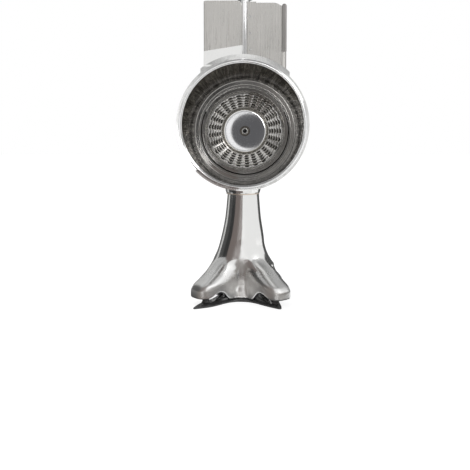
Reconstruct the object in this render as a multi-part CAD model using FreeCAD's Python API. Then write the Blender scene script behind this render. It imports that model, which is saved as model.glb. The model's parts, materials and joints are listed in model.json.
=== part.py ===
import FreeCAD, Part
import math
import os

# Hand cranked drum shredder on a four toed cast foot.
# Millimetres. +Z is up, the open mouth of the drum faces -Y, and the crank is at +Y.
# The origin is on the table, under the drum's axis.

# ---- driving dimensions ----------------------------------------------------------

# sides of turned pieces
round_sides = 48

# drum axis and barrel
axis_height = 174.0
mouth_front = -68.0
mouth_shift_x = -2.0
mouth_shift_z = 5.9
barrel_radius = 62.6
barrel_wall = 2.4
barrel_back = 45.0
barrel_back_wall = 3.0
barrel_shoulder = 14.0
mouth_sides = 72
shoulder_steps = 3

# polished rim, flared collar and the ring that the drum turns in
rim_set_in = 5.2
rim_width = 3.4
rim_depth = 3.2
collar_wall = 1.5
collar_back = -38.0
guide_land = 6.2
guide_bead = 1.2
guide_step = 2.6
guide_depth = 6.0
inner_bead_end = 300.0
outer_bead_end = 330.0
drum_gap = 1.0

# drum
drum_room = 20.2
drum_end_radius = 25.8
drum_front = -37.0
drum_cone_end = 22.0
drum_round = 4.0
drum_wall = 1.0
drum_lip = 1.3
drum_sides_per_column = 2
hole_rows = 5
hole_columns = 25
hole_radius = 2.3
first_row = -16.2
row_pitch = 8.1
seam_angle = 55.0
seam_width = 5.0
seam_thickness = 0.5
hub_radius = 20.5
hub_thickness = 5.0
hub_bevel = 2.0
hub_web = 2.0
hub_sleeve_radius = 10.0

# shaft, bearing and crank
shaft_radius = 6.0
running_gap = 0.05
fixed_gap = 0.02
bush_wall = 2.5
boss_radius = 17.0
boss_length = 15.0
boss_flare = 6.0
washer_thickness = 1.0
end_float = 0.3
crank_throw = 95.0
crank_thickness = 7.0
crank_hub_radius = 12.0
crank_eye_radius = 8.5
crank_bevel = 1.4
nut_across_flats = 16.0
nut_height = 6.5
thread_radius = 4.0
thread_setback = 1.5
knob_pin_radius = 3.0
pin_head_radius = 5.0
pin_head_height = 2.5
pin_head_sink = 1.5
knob_play = 0.5
knob_length = 44.0
knob_radius = 13.0

# centre screw
screw_head_radius = 3.9
screw_head_height = 3.6
screw_radius = 2.5
screw_length = 13.0
screw_gap = 0.1
socket_depth = 2.2
screw_socket = 2.1
screw_washer_radius = 5.6

# hopper of folded sheet
hopper_half_width = 40.0
hopper_front = -43.0
hopper_back = 27.0
hopper_height = 56.5
hopper_lap = 22.6
hopper_right_drop = 2.2
sheet = 1.2
seam_x = -0.4
seam_strip_width = 4.8
strap_width = 8.6
strap_thickness = 1.2
strap_drop = 1.4
strap_lap = 3.0
strap_rivets = 3
rivet_drop = 15.6
rivet_clear = 3.2
rivet_radius = 1.1
rivet_sides = 12
edge_bar_width = 4.6
edge_bar_length = 45.0
edge_bar_drop = 1.2
edge_bar_depth = 2.2
edge_bar_round = 1.2
fold_drop = 2.0
corner_left = 4.0
corner_right = 8.5

# saddle of the hopper and the chute inside the barrel
saddle_thickness = 5.4
saddle_reach = 3.0
flare_rise_left = 8.4
flare_rise_seam = 14.3
flare_drop = 20.6
flare_knee = 14.0
flare_reach = 3.4
chute_wall = 2.0
chute_drop = 1.9
chute_lip = 2.0
chute_ring_gap = 3.9
chute_skirt = 15.0
chute_floor = 0.8
chute_setback = 11.6
chute_gap = 0.3
drum_chute_gap = 1.2

# pusher
pusher_gap = 0.6
pusher_plate_thickness = 5.0
pusher_drum_gap = 3.6
pusher_block_inset = 3.0
pusher_rod_radius = 5.0
pusher_corner = 2.0
pusher_block_corner = 3.0
grip_rise = 7.5

# radius and height of the pusher's grip
grip_profile = [(8.0, 0.0), (17.4, 9.0), (19.0, 11.0), (19.0, 13.0), (13.7, 17.4), (5.0, 19.7)]

# column and foot
foot_yaw = -6.0
pad_thickness = 2.5
saddle_height = 8.7
collar_joint = 1.2
foot_wall = 4.0
toe_wall = 5.0
toe_points = 11
toe_spread = 36.0
front_toe_turn = 45.0
rear_toe_turn = 38.0
hollow_middle = 10.0
hollow_top = 17.0
web_margin = 1.0
arch_radius = 10.5
arch_length = 50.0
arch_sides = 10
front_arch = 42.0
rear_arch = 34.0
toe_lift = 4.9
post_radius = 3.4
post_gap = 0.3
front_post = 50.0
rear_post = 37.0
pad_margin = 2.4

# height, radius at the middle of a side, at a front toe and at a rear toe, sharpness of the toes
toe_profile = [
    (pad_thickness, 21.6, 60.0, 46.0, 5.0),
    (5.0, 21.5, 63.0, 48.0, 5.0),
    (9.0, 21.3, 64.4, 49.4, 5.2),
    (14.0, 21.0, 64.4, 49.4, 5.4),
    (19.0, 20.6, 61.4, 47.0, 5.2),
    (24.0, 20.1, 53.8, 42.0, 4.8),
    (31.0, 19.4, 45.0, 36.0, 4.2),
]

# the same for the column, with the height as a share of the way from the toes to the top
column_profile = [
    (0.17, 18.5, 35.6, 30.0, 3.6),
    (0.43, 17.7, 28.0, 25.2, 3.0),
    (0.68, 17.2, 23.0, 21.8, 2.5),
]
column_top_profile = (16.9, 18.6, 18.6, 2.0)

# height of each ring of the barrel's seat above the joint, and how far it stands out from the column
seat_profile = [(0.0, 0.4), (0.8, 1.0), (5.0, 1.8), (9.5, 5.0), (19.0, 10.0)]

# suction lever in the foot
cavity_radius = 13.0
cavity_top = 43.0
slot_gap = 0.6
slot_reach = 40.0
slot_lintel = 1.0
web_bottom = 9.2
web_thickness = 2.8
lift_travel = 2.5
lever_swing = 35.0
cam_radius = 9.0
cam_gap = 0.3
stem_radius = 3.8
stem_gap = 0.4
stem_eye = 2.5
disc_gap = 0.1
stem_disc_radius = 11.0
stem_disc_thickness = 2.8
lever_pin_radius = 2.0
pin_end = 0.5
cheek_thickness = 3.0
cheek_gap = 0.4
lever_length = 64.0
lever_thickness = 5.0
lever_grip_length = 24.0
lever_corner = 5.0
grip_side = 2.0
grip_end = 2.5
grip_skin = 1.8
grip_corner = 3.4

# ---- sizes worked out from the driving ones ---------------------------------------

mouth_x = mouth_shift_x
mouth_z = axis_height + mouth_shift_z
crown = mouth_z + barrel_radius
barrel_bore = barrel_radius - barrel_wall
rim_inner_radius = barrel_radius - rim_set_in
drum_lip_radius = barrel_radius - drum_room
barrel_front = mouth_front + rim_depth / 2.0
guide_inner_radius = drum_lip_radius + drum_gap
guide_outer_radius = guide_inner_radius + guide_land
drum_slope = (drum_lip_radius - drum_end_radius) / (drum_cone_end - drum_front)
drum_end = drum_cone_end + drum_round + drum_wall
hub_back = drum_end + hub_thickness
shaft_front = drum_end + hub_web
boss_back = barrel_back + boss_length
bush_radius = shaft_radius + bush_wall
crank_front = boss_back + washer_thickness + 2.0 * end_float
crank_back = crank_front + crank_thickness
nut_back = crank_back + nut_height
thread_end = nut_back - thread_setback
cam_offset = lift_travel / (2.0 * math.sin(math.radians(lever_swing / 2.0)))
hopper_top = crown + hopper_height
hopper_bottom = crown - hopper_lap
edge_bar_top = hopper_top - hopper_right_drop - edge_bar_drop
chute_top = crown - chute_drop
chute_knee = axis_height + guide_outer_radius + collar_wall + chute_ring_gap
chute_bottom = axis_height + chute_skirt
pusher_block_bottom = axis_height + drum_lip_radius + pusher_drum_gap
pusher_grip_bottom = hopper_top + grip_rise
column_x = mouth_x
column_top = mouth_z - barrel_radius - saddle_height
toe_top = toe_profile[-1][0]
web_top = web_bottom + web_thickness
pivot_height = web_top + cam_gap + cam_radius + lift_travel / 2.0
cheek_inner = stem_radius + cheek_gap
cheek_outer = cheek_inner + cheek_thickness

# direction of each toe in degrees, distance of its arch and of its post, and True for a rear toe
toes = [
    (90.0 - rear_toe_turn, rear_arch, rear_post, True),
    (90.0 + rear_toe_turn, rear_arch, rear_post, True),
    (270.0 - front_toe_turn, front_arch, front_post, False),
    (270.0 + front_toe_turn, front_arch, front_post, False),
]

X_AXIS = FreeCAD.Vector(1, 0, 0)
Y_AXIS = FreeCAD.Vector(0, 1, 0)
Z_AXIS = FreeCAD.Vector(0, 0, 1)


# ---- small helpers -----------------------------------------------------------------

def point(x, y, z):
    return FreeCAD.Vector(x, y, z)


def rod_y(radius, front, back, x=0.0, z=axis_height):
    """A cylinder along Y from front to back."""
    return Part.makeCylinder(radius, back - front, point(x, front, z), Y_AXIS)


def rod_x(radius, half_length, y, z):
    """A cylinder along X, centred on X = 0."""
    return Part.makeCylinder(radius, 2.0 * half_length, point(-half_length, y, z), X_AXIS)


def rod_z(radius, bottom, top, x=0.0, y=0.0):
    """A cylinder along Z from bottom to top."""
    return Part.makeCylinder(radius, top - bottom, point(x, y, bottom), Z_AXIS)


def block(x0, x1, y0, y1, z0, z1):
    """A box between two corners."""
    return Part.makeBox(x1 - x0, y1 - y0, z1 - z0, point(x0, y0, z0))


def side_profile(corners, x0, x1):
    """Extrude (y, z) corners from x0 to x1."""
    points = [point(x0, y, z) for y, z in corners]
    face = Part.Face(Part.makePolygon(points + points[:1]))
    return face.extrude(point(x1 - x0, 0, 0))


def arc_points(radius, y, turn, start, end, steps):
    """(radius, y) points on an arc of the given turn radius, from start to end in degrees."""
    points = []
    for index in range(steps + 1):
        angle = math.radians(start + (end - start) * index / steps)
        points.append((radius + turn * math.cos(angle), y + turn * math.sin(angle)))
    return points


def beside(x, z):
    """Places points round the Y line through x, z."""
    return lambda across, up, along: point(x + across, along, z + up)


def above(x, y):
    """Places points round the vertical line through x, y."""
    return lambda across, back, up: point(x + across, y + back, up)


def yawed(shape):
    """Turn a piece of the foot about the column's axis, and set it under the barrel."""
    turned_shape = shape.copy()
    turned_shape.rotate(point(0, 0, 0), Z_AXIS, foot_yaw)
    turned_shape.translate(point(column_x, 0, 0))
    return turned_shape


def band(lower, upper):
    """Flat faces between two closed rings of points: one for each side, or two where one would bend."""
    faces = []
    for index in range(len(lower)):
        after = (index + 1) % len(lower)
        corners = [lower[index], lower[after], upper[after], upper[index]]
        across = (corners[1] - corners[0]).cross(corners[2] - corners[0]).normalize()
        if abs(across.dot(corners[3] - corners[0])) < 0.000001:
            faces.append(Part.Face(Part.makePolygon(corners + corners[:1])))
        else:
            faces.append(Part.Face(Part.makePolygon(corners[:3] + corners[:1])))
            faces.append(Part.Face(Part.makePolygon([corners[0]] + corners[2:] + [corners[0]])))
    return faces


def solid_of(faces):
    """The solid inside a closed set of faces."""
    solid = Part.Solid(Part.Shell(faces))
    if solid.Volume < 0.0:
        solid.reverse()
    return solid


def stacked(rings):
    """A solid with flat faces between closed rings of points, from the first ring to the last."""
    faces = [Part.Face(Part.makePolygon(ring + ring[:1])) for ring in (rings[0], rings[-1])]
    for lower, upper in zip(rings, rings[1:]):
        faces += band(lower, upper)
    return solid_of(faces)


def ring_points(radius, along, sides, place, first_turn):
    """Points of a many sided ring. place makes a point from across, up and along."""
    angles = [first_turn + 2.0 * math.pi * index / sides for index in range(sides)]
    return [place(radius * math.cos(angle), radius * math.sin(angle), along) for angle in angles]


def sided(profile, sides, place, first_turn=0.0):
    """A many sided solid from (radius, along) points, closed by flat ends."""
    return stacked([ring_points(radius, along, sides, place, first_turn) for radius, along in profile])


def hoop(section, sides, place, first_turn=0.0):
    """A many sided ring with a closed section of (radius, along) points."""
    rings = [ring_points(radius, along, sides, place, first_turn) for radius, along in section]
    faces = []
    for lower, upper in zip(rings, rings[1:] + rings[:1]):
        faces += band(lower, upper)
    return solid_of(faces)


def turned(profile, x=0.0, z=axis_height, sides=round_sides):
    """A many sided solid or ring from (radius, y) points round the Y line through x, z."""
    if profile[0][0] == 0.0:
        return sided(profile[1:-1], sides, beside(x, z))
    return hoop(profile, sides, beside(x, z))


# ---- barrel and collar --------------------------------------------------------------

def make_barrel():
    """Open fronted barrel with a rounded back, a bearing boss and the hopper's opening."""
    inside_back = barrel_back - barrel_back_wall
    inner_turn = barrel_shoulder - barrel_wall
    outside = sided([(barrel_radius, barrel_front)] + arc_points(
        barrel_radius - barrel_shoulder, barrel_back - barrel_shoulder, barrel_shoulder, 0.0, 90.0,
        shoulder_steps), mouth_sides, beside(mouth_x, mouth_z))
    inside = sided([(barrel_bore, barrel_front - 1.0)] + arc_points(
        barrel_bore - inner_turn, inside_back - inner_turn, inner_turn, 0.0, 90.0,
        shoulder_steps), mouth_sides, beside(mouth_x, mouth_z))
    boss = turned([
        (0.0, inside_back), (boss_radius + boss_flare, inside_back),
        (boss_radius + boss_flare, barrel_back), (boss_radius, barrel_back + boss_flare),
        (boss_radius, boss_back - 1.0), (boss_radius - 1.0, boss_back), (0.0, boss_back)])
    shell = outside.cut(inside).fuse(boss)
    shell = shell.cut(rod_y(bush_radius, inside_back - 5.0, boss_back + 1.0))
    opening = block(-hopper_half_width + sheet, hopper_half_width - sheet,
                    hopper_front + sheet, hopper_back - sheet,
                    mouth_z, crown + barrel_wall)
    return shell.cut(opening).removeSplitter()


def make_rim():
    """The polished bead round the mouth, seated on the barrel's front edge."""
    outer = rim_inner_radius + rim_width
    half = rim_width / 2.0
    bead_y = mouth_front - rim_depth / 2.0 + half
    section = [(rim_inner_radius, barrel_front)] + arc_points(
        rim_inner_radius + half, bead_y, half, 180.0, 360.0, 4) + [(outer, barrel_front)]
    return turned(section, mouth_x, mouth_z, mouth_sides)


def make_collar():
    """The flared funnel: wide at the off-centre mouth, narrow at the drum's ring."""
    sections = []
    for wall in (0.0, collar_wall):
        front = ring_points(rim_inner_radius + wall, barrel_front, mouth_sides, beside(mouth_x, mouth_z), 0.0)
        back = ring_points(guide_outer_radius + wall, collar_back, mouth_sides, beside(0.0, axis_height), 0.0)
        sections.append(stacked([front, back]))
    return sections[1].cut(sections[0])


def make_guide_ring():
    """The stepped ring at the foot of the collar, with two beads round the drum's lip."""
    outer = guide_outer_radius + collar_wall
    step = guide_inner_radius + guide_step
    back = collar_back + guide_depth
    first_seat = collar_back + guide_bead
    second_seat = first_seat + guide_bead
    section = [(outer, collar_back), (outer, back), (guide_inner_radius, back)]
    section += arc_points(guide_inner_radius + guide_bead, second_seat + guide_bead, guide_bead,
                          180.0, inner_bead_end, 2)
    section += [(step, second_seat)]
    section += arc_points(step + guide_bead, first_seat + 0.3 * guide_bead, guide_bead,
                          180.0, outer_bead_end, 3)
    section += [(guide_outer_radius, first_seat), (guide_outer_radius, collar_back)]
    return turned(section, 0.0, axis_height, mouth_sides)


# ---- drum -----------------------------------------------------------------------------

def drum_radius_at(y):
    """Outer radius of the drum's cone at a depth."""
    return drum_lip_radius - drum_slope * (y - drum_front)


def drum_profile(grow):
    """The drum's outside from its lip to its end, or its inside when grow is negative."""
    end = drum_end_radius + grow
    turn = drum_round + drum_wall + grow
    return [(drum_lip_radius + grow, drum_front)] + arc_points(end - turn, drum_cone_end, turn, 0.0, 90.0, 2)


def round_drum(shape_of, profile):
    """A many sided shape on the drum's axis, with a whole number of sides from hole to hole."""
    sides = hole_columns * drum_sides_per_column
    return shape_of(profile, sides, beside(0.0, axis_height), math.pi / sides)


def drum_outline(grow):
    """The room that the drum takes, or the room inside it, as a solid."""
    return round_drum(sided, drum_profile(grow))


def row_places():
    """Depth and radius of each ring of holes."""
    return [(first_row + row * row_pitch, drum_radius_at(first_row + row * row_pitch))
            for row in range(hole_rows)]


def make_drum():
    """Perforated cone with a rolled lip, a lap seam and a rounded closed end."""
    bead = arc_points(drum_lip_radius - drum_lip, drum_front, drum_lip, 180.0, 360.0, 4)
    screw_hole = screw_radius + screw_gap
    section = bead[:-1] + drum_profile(0.0) + [(screw_hole, drum_end), (screw_hole, drum_end - drum_wall)]
    section += drum_profile(-drum_wall)[::-1]
    shell = round_drum(hoop, section)
    tilt = math.atan(drum_slope)
    reach = drum_round + drum_wall
    punches = []
    for y, radius in row_places():
        for column in range(hole_columns):
            punch = hole_punch(reach)
            punch.rotate(point(0, 0, 0), Z_AXIS, math.degrees(tilt))
            punch.translate(point(radius, y, 0))
            punch.rotate(point(0, 0, 0), Y_AXIS, -360.0 * column / hole_columns)
            punch.translate(point(0, 0, axis_height))
            punches.append(punch)
    return shell.cut(Part.makeCompound(punches))


def hole_punch(reach):
    """Six sided punch along X, centred on the origin."""
    corners = []
    for index in range(7):
        angle = math.pi / 3.0 * index
        corners.append(point(-reach, hole_radius * math.sin(angle), hole_radius * math.cos(angle)))
    return Part.Face(Part.makePolygon(corners)).extrude(point(2.0 * reach, 0, 0))


def make_drum_seam():
    """The lap of the drum's sheet: a thin strip along the inside of the plain band."""
    front = drum_front + 2.0 * drum_lip
    back = first_row - hole_radius - drum_wall
    inner = drum_outline(-drum_wall).cut(drum_outline(-drum_wall - seam_thickness))
    strip = block(0.0, drum_lip_radius, front, back, -seam_width / 2.0, seam_width / 2.0)
    strip.rotate(point(0, 0, 0), Y_AXIS, -seam_angle)
    strip.translate(point(0, 0, axis_height))
    return inner.common(strip)


def make_drum_hub():
    """The turned hub behind the drum's end, keyed on the shaft."""
    sleeve_back = barrel_back - barrel_back_wall - washer_thickness - 2.0 * end_float
    hub = turned([
        (screw_radius + screw_gap, drum_end), (hub_radius, drum_end), (hub_radius, hub_back - hub_bevel),
        (hub_radius - hub_bevel, hub_back), (hub_sleeve_radius, hub_back),
        (hub_sleeve_radius, sleeve_back), (shaft_radius + fixed_gap, sleeve_back),
        (shaft_radius + fixed_gap, shaft_front), (screw_radius + screw_gap, shaft_front)])
    return hub


def make_hub_screw():
    """Socket headed screw in the middle of the drum."""
    seat = drum_end - drum_wall - washer_thickness
    front = seat - screw_head_height
    head = turned([(0.0, front), (screw_head_radius - 0.6, front), (screw_head_radius, front + 0.6),
                   (screw_head_radius, seat), (0.0, seat)])
    hexagon = hexagon_prism(2.0 * screw_socket, front - 1.0, front + socket_depth)
    stem = rod_y(screw_radius, seat, seat + screw_length)
    return head.cut(hexagon).fuse(stem).removeSplitter()


def hexagon_prism(across_flats, front, back):
    """A hexagonal prism along the drum's axis."""
    corner = across_flats / math.sqrt(3.0)
    corners = []
    for index in range(7):
        angle = math.pi / 3.0 * index
        corners.append(point(corner * math.cos(angle), front, axis_height + corner * math.sin(angle)))
    return Part.Face(Part.makePolygon(corners)).extrude(point(0, back - front, 0))


def make_screw_washer():
    """Washer under the centre screw."""
    back = drum_end - drum_wall
    front = back - washer_thickness
    bore = screw_radius + 2.0 * screw_gap
    return turned([(bore, front), (screw_washer_radius, front), (screw_washer_radius, back), (bore, back)])


# ---- shaft, bearing and crank ------------------------------------------------------------

def make_shaft():
    """The shaft from the drum's hub to the crank's nut, drilled for the centre screw."""
    shaft = rod_y(shaft_radius, shaft_front, crank_back).fuse(rod_y(thread_radius, crank_back, thread_end))
    bore = rod_y(screw_radius + fixed_gap, shaft_front - 1.0, shaft_front + screw_length)
    return shaft.cut(bore).removeSplitter()


def make_bush():
    """Plain bearing bush in the barrel's boss."""
    bore = shaft_radius + running_gap
    return rod_y(bush_radius, barrel_back - barrel_back_wall, boss_back).cut(
        rod_y(bore, barrel_back - barrel_back_wall - 1.0, boss_back + 1.0))


def make_thrust_washers():
    """One washer on each side of the bearing."""
    washers = []
    for front in (barrel_back - barrel_back_wall - washer_thickness - end_float, boss_back + end_float):
        back = front + washer_thickness
        washers.append(turned([(shaft_radius + fixed_gap, front), (hub_sleeve_radius, front),
                               (hub_sleeve_radius, back), (shaft_radius + fixed_gap, back)]))
    return Part.makeCompound(washers)


def make_crank_arm():
    """Tapered arm with rounded ends that hangs straight down."""
    lean = math.asin((crank_hub_radius - crank_eye_radius) / crank_throw)
    eye_z = axis_height - crank_throw
    side_x = math.cos(lean)
    side_z = math.sin(lean)
    y = crank_front
    top_right = point(crank_hub_radius * side_x, y, axis_height - crank_hub_radius * side_z)
    top_left = point(-crank_hub_radius * side_x, y, axis_height - crank_hub_radius * side_z)
    low_right = point(crank_eye_radius * side_x, y, eye_z - crank_eye_radius * side_z)
    low_left = point(-crank_eye_radius * side_x, y, eye_z - crank_eye_radius * side_z)
    outline = Part.Wire([
        Part.Arc(top_left, point(0, y, axis_height + crank_hub_radius), top_right).toShape(),
        Part.LineSegment(top_right, low_right).toShape(),
        Part.Arc(low_right, point(0, y, eye_z - crank_eye_radius), low_left).toShape(),
        Part.LineSegment(low_left, top_left).toShape()])
    arm = Part.Face(outline).extrude(point(0, crank_thickness, 0))
    edges = [edge for edge in arm.Edges
             if abs(edge.CenterOfMass.y - crank_front) < 0.01 or abs(edge.CenterOfMass.y - crank_back) < 0.01]
    arm = arm.makeChamfer(crank_bevel, edges)
    arm = arm.cut(rod_y(shaft_radius + fixed_gap, crank_front - 1.0, crank_back + 1.0))
    return arm.cut(rod_y(knob_pin_radius + fixed_gap, crank_front - 1.0, crank_back + 1.0, 0.0, eye_z))


def make_crank_nut():
    """Domed nut on the shaft's end."""
    nut = hexagon_prism(nut_across_flats, crank_back, nut_back)
    dome = sided([(7.0, nut_back), (6.2, nut_back + 3.0), (4.0, nut_back + 4.8), (1.6, nut_back + 5.5)],
                 round_sides, beside(0.0, axis_height))
    return nut.fuse(dome).cut(rod_y(thread_radius + fixed_gap, crank_back - 1.0, thread_end)).removeSplitter()


def make_knob_pin():
    """The pin that the knob turns on, with a head sunk in the knob's end."""
    z = axis_height - crank_throw
    front = crank_front
    end = crank_back + knob_length - pin_head_sink
    return rod_y(knob_pin_radius, front, end, 0.0, z).fuse(
        rod_y(pin_head_radius, end, end + pin_head_height, 0.0, z)).removeSplitter()


def make_crank_knob():
    """Waisted knob that spins on its pin."""
    z = axis_height - crank_throw
    front = crank_back + knob_play
    length = knob_length
    outline = [(0.0, front), (9.6, front), (9.6, front + 4.4), (7.8, front + 0.26 * length),
               (knob_radius - 0.8, front + 0.64 * length), (knob_radius, front + 0.72 * length),
               (knob_radius, front + 0.8 * length), (knob_radius - 3.6, front + 0.96 * length),
               (knob_radius - 6.0, front + length), (0.0, front + length)]
    knob = turned(outline, 0.0, z)
    bore = rod_y(knob_pin_radius + running_gap, front - 1.0, front + length + 1.0, 0.0, z)
    head_seat = crank_back + knob_length - pin_head_sink - end_float
    counterbore = rod_y(pin_head_radius + knob_play, head_seat, front + length + 1.0, 0.0, z)
    return knob.cut(bore).cut(counterbore)


# ---- hopper ----------------------------------------------------------------------------

def clear_of_barrel(shape):
    """Cut the lower edge of a hopper piece to the round of the barrel."""
    return shape.cut(rod_y(barrel_radius + 0.1, barrel_front - 5.0, barrel_back + 5.0, mouth_x, mouth_z))


def front_corner(sheet_solid, x, top, radius):
    """Round one top corner of a front panel."""
    edges = [edge for edge in sheet_solid.Edges
             if abs(edge.CenterOfMass.x - x) < 0.01 and abs(edge.CenterOfMass.z - top) < 0.01
             and abs(edge.BoundBox.YLength - sheet) < 0.01]
    return sheet_solid.makeFillet(radius, edges)


def make_hopper_left():
    """Left half of the hopper: a front panel, the side and half of the back, folded as one."""
    bottom = hopper_bottom
    left = -hopper_half_width
    seam_left = seam_x - seam_strip_width / 2.0
    front = block(left, seam_left, hopper_front, hopper_front + sheet, bottom, hopper_top)
    front = front_corner(front, seam_left, hopper_top, corner_left)
    side = block(left, left + sheet, hopper_front, hopper_back, bottom, hopper_top)
    back = block(left, seam_x, hopper_back - sheet, hopper_back, bottom, hopper_top)
    return clear_of_barrel(front.fuse([side, back]).removeSplitter())


def make_hopper_right():
    """Right half of the hopper, a little lower, with a large rounded corner in front."""
    bottom = hopper_bottom
    top = hopper_top - hopper_right_drop
    right = hopper_half_width
    inner = seam_x - seam_strip_width / 2.0 + 0.1
    front = block(inner, right - edge_bar_width, hopper_front, hopper_front + sheet, bottom, top)
    front = front_corner(front, right - edge_bar_width, top, corner_right)
    fold_top = edge_bar_top - fold_drop
    fold = block(right - edge_bar_width - 0.5, right, hopper_front, hopper_front + sheet, bottom, fold_top)
    fold = fold.cut(block(right - edge_bar_width - 1.0, right - edge_bar_width, hopper_front - 1.0,
                          hopper_front + sheet + 1.0, top - corner_right, hopper_top))
    side = block(right - sheet, right, hopper_front, hopper_back, bottom, fold_top)
    back = block(seam_x + 0.1, right, hopper_back - sheet, hopper_back, bottom, fold_top)
    return clear_of_barrel(front.fuse([fold, side, back]).removeSplitter())


def make_edge_bar():
    """Round topped bar that stiffens the hopper's right front edge."""
    left = hopper_half_width - edge_bar_width
    front = hopper_front - edge_bar_depth
    bar = block(left, hopper_half_width, front, hopper_front, edge_bar_top - edge_bar_length, edge_bar_top)
    edges = [edge for edge in bar.Edges if abs(edge.CenterOfMass.z - edge_bar_top) < 0.01
             and edge.BoundBox.YLength > edge_bar_depth / 2.0]
    bar = bar.makeFillet(edge_bar_width / 2.0 - 0.1, edges)
    front_edges = [edge for edge in bar.Edges if edge.BoundBox.ZLength > edge_bar_length / 2.0
                   and abs(edge.CenterOfMass.y - front) < 0.01]
    return bar.makeFillet(edge_bar_round, front_edges)


def make_seam_strip():
    """Half round strip over the joint between the two halves."""
    bottom = crown
    strip = rod_z(seam_strip_width / 2.0, bottom, hopper_top - 0.4, seam_x, hopper_front)
    width = seam_strip_width
    front_half = block(seam_x - width, seam_x + width, hopper_front - width, hopper_front, bottom, hopper_top)
    return clear_of_barrel(strip.common(front_half))


def strap_left():
    return seam_x + seam_strip_width / 2.0 + 0.1


def make_strap():
    """Flat strap beside the strip, riveted to the right half."""
    left = strap_left()
    strap = block(left, left + strap_width, hopper_front - strap_thickness, hopper_front,
                  crown - strap_lap, hopper_top - strap_drop)
    return clear_of_barrel(strap)


def rivet_places():
    """Centres of the rivets, spread evenly from the strap's top to just above the saddle."""
    x = strap_left() + 0.45 * strap_width - rivet_radius
    top = hopper_top - rivet_drop
    low = crown + saddle_thickness + rivet_radius + rivet_clear
    return [(x, top + (low - top) * index / (strap_rivets - 1.0)) for index in range(strap_rivets)]


def make_rivets():
    """Domed rivet heads through the strap."""
    rivets = []
    for x, z in rivet_places():
        seat = hopper_front - strap_thickness
        head = sided([(rivet_radius, seat), (0.8 * rivet_radius, seat - 0.5 * rivet_radius),
                      (0.4 * rivet_radius, seat - 0.8 * rivet_radius)], rivet_sides, beside(x, z))
        rivets.append(head)
    return Part.makeCompound(rivets)


def make_hopper_saddle():
    """Saddle that carries the hopper on the barrel, with a flared front on the left."""
    reach_x = hopper_half_width + saddle_reach
    reach_front = hopper_front - saddle_reach
    ring = rod_y(barrel_radius + saddle_thickness, reach_front, hopper_back + saddle_reach, mouth_x, mouth_z)
    ring = ring.common(block(-reach_x, reach_x, reach_front, hopper_back + saddle_reach, mouth_z, hopper_top))
    seam_left = seam_x - seam_strip_width / 2.0
    low = crown - flare_drop
    sections = []
    for x, height in ((-hopper_half_width, crown + flare_rise_left), (seam_left, crown + flare_rise_seam)):
        corners = [point(x, hopper_front, height), point(x, hopper_front - flare_reach, low + flare_knee),
                   point(x, hopper_front - flare_reach, low), point(x, hopper_front, low)]
        sections.append(Part.makePolygon(corners + corners[:1]))
    flare = Part.makeLoft(sections, True, True)
    saddle = ring.fuse(flare)
    saddle = clear_of_barrel(saddle)
    inside = block(-hopper_half_width, hopper_half_width, hopper_front, hopper_back,
                   mouth_z, hopper_top)
    saddle = saddle.cut(inside)
    strip = rod_z(seam_strip_width / 2.0 + 0.1, mouth_z, hopper_top, seam_x, hopper_front)
    strap = block(strap_left() - 0.2, strap_left() + strap_width + 0.1, hopper_front - strap_thickness - 0.1,
                  hopper_front + 1.0, mouth_z, hopper_top)
    return saddle.cut(strip).cut(strap).removeSplitter()


def make_chute():
    """Feed chute inside the barrel, cut to the drum's cone."""
    half = hopper_half_width - sheet - chute_gap
    front = hopper_front + sheet + chute_gap
    back = hopper_back - sheet - chute_gap
    knee = front + chute_setback
    lip = chute_top - chute_lip
    outer = side_profile([(front, chute_top), (front, lip), (knee, chute_knee),
                          (knee, chute_bottom), (back, chute_bottom), (back, chute_top)], -half, half)
    wall = chute_wall
    inner = side_profile([(front + wall, chute_top + 1.0), (front + wall, lip + chute_floor),
                          (knee + wall, chute_knee + chute_floor), (knee + wall, chute_bottom - 1.0),
                          (back - wall, chute_bottom - 1.0), (back - wall, chute_top + 1.0)],
                         -half + wall, half - wall)
    return outer.cut(inner).cut(drum_outline(drum_chute_gap))


# ---- pusher -----------------------------------------------------------------------------

def make_pusher_block():
    """Flat plate that fills the hopper, with a block under it for the chute."""
    half = hopper_half_width - sheet - pusher_gap
    front = hopper_front + sheet + pusher_gap
    back = hopper_back - sheet - pusher_gap
    bottom = chute_top + end_float
    plate = block(-half, half, front, back, bottom, bottom + pusher_plate_thickness)
    plate = plate.makeFillet(pusher_corner, [edge for edge in plate.Edges if edge.BoundBox.ZLength > 1.0])
    inset = chute_wall + pusher_block_inset
    low = block(-half + inset, half - inset, front + chute_setback + inset, back - inset,
                pusher_block_bottom, bottom)
    low = low.makeFillet(pusher_block_corner, [edge for edge in low.Edges if edge.BoundBox.ZLength > 1.0])
    return plate.fuse(low).removeSplitter()


def pusher_y():
    return (hopper_front + hopper_back) / 2.0


def make_pusher_rod():
    """Rod from the plate to the grip."""
    return rod_z(pusher_rod_radius, chute_top + end_float + pusher_plate_thickness,
                 pusher_grip_bottom, 0.0, pusher_y())


def make_pusher_grip():
    """Mushroom grip for the palm."""
    profile = [(radius, pusher_grip_bottom + rise) for radius, rise in grip_profile]
    return sided(profile, round_sides, above(0.0, pusher_y()))


# ---- column and foot ----------------------------------------------------------------------

def star_radius(angle, side, front_tip, rear_tip, sharpness):
    """Plan radius of the foot in a direction: flat over each toe, down to the side between two toes."""
    radius = side
    for direction, arch, post, is_rear in toes:
        tip = rear_tip if is_rear else front_tip
        offset = (angle - math.radians(direction) + math.pi) % (2.0 * math.pi) - math.pi
        if abs(offset) < math.pi / 4.0:
            radius += (tip - side) * math.sin(math.pi / 2.0 * math.cos(2.0 * offset) ** sharpness)
    return radius


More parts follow.
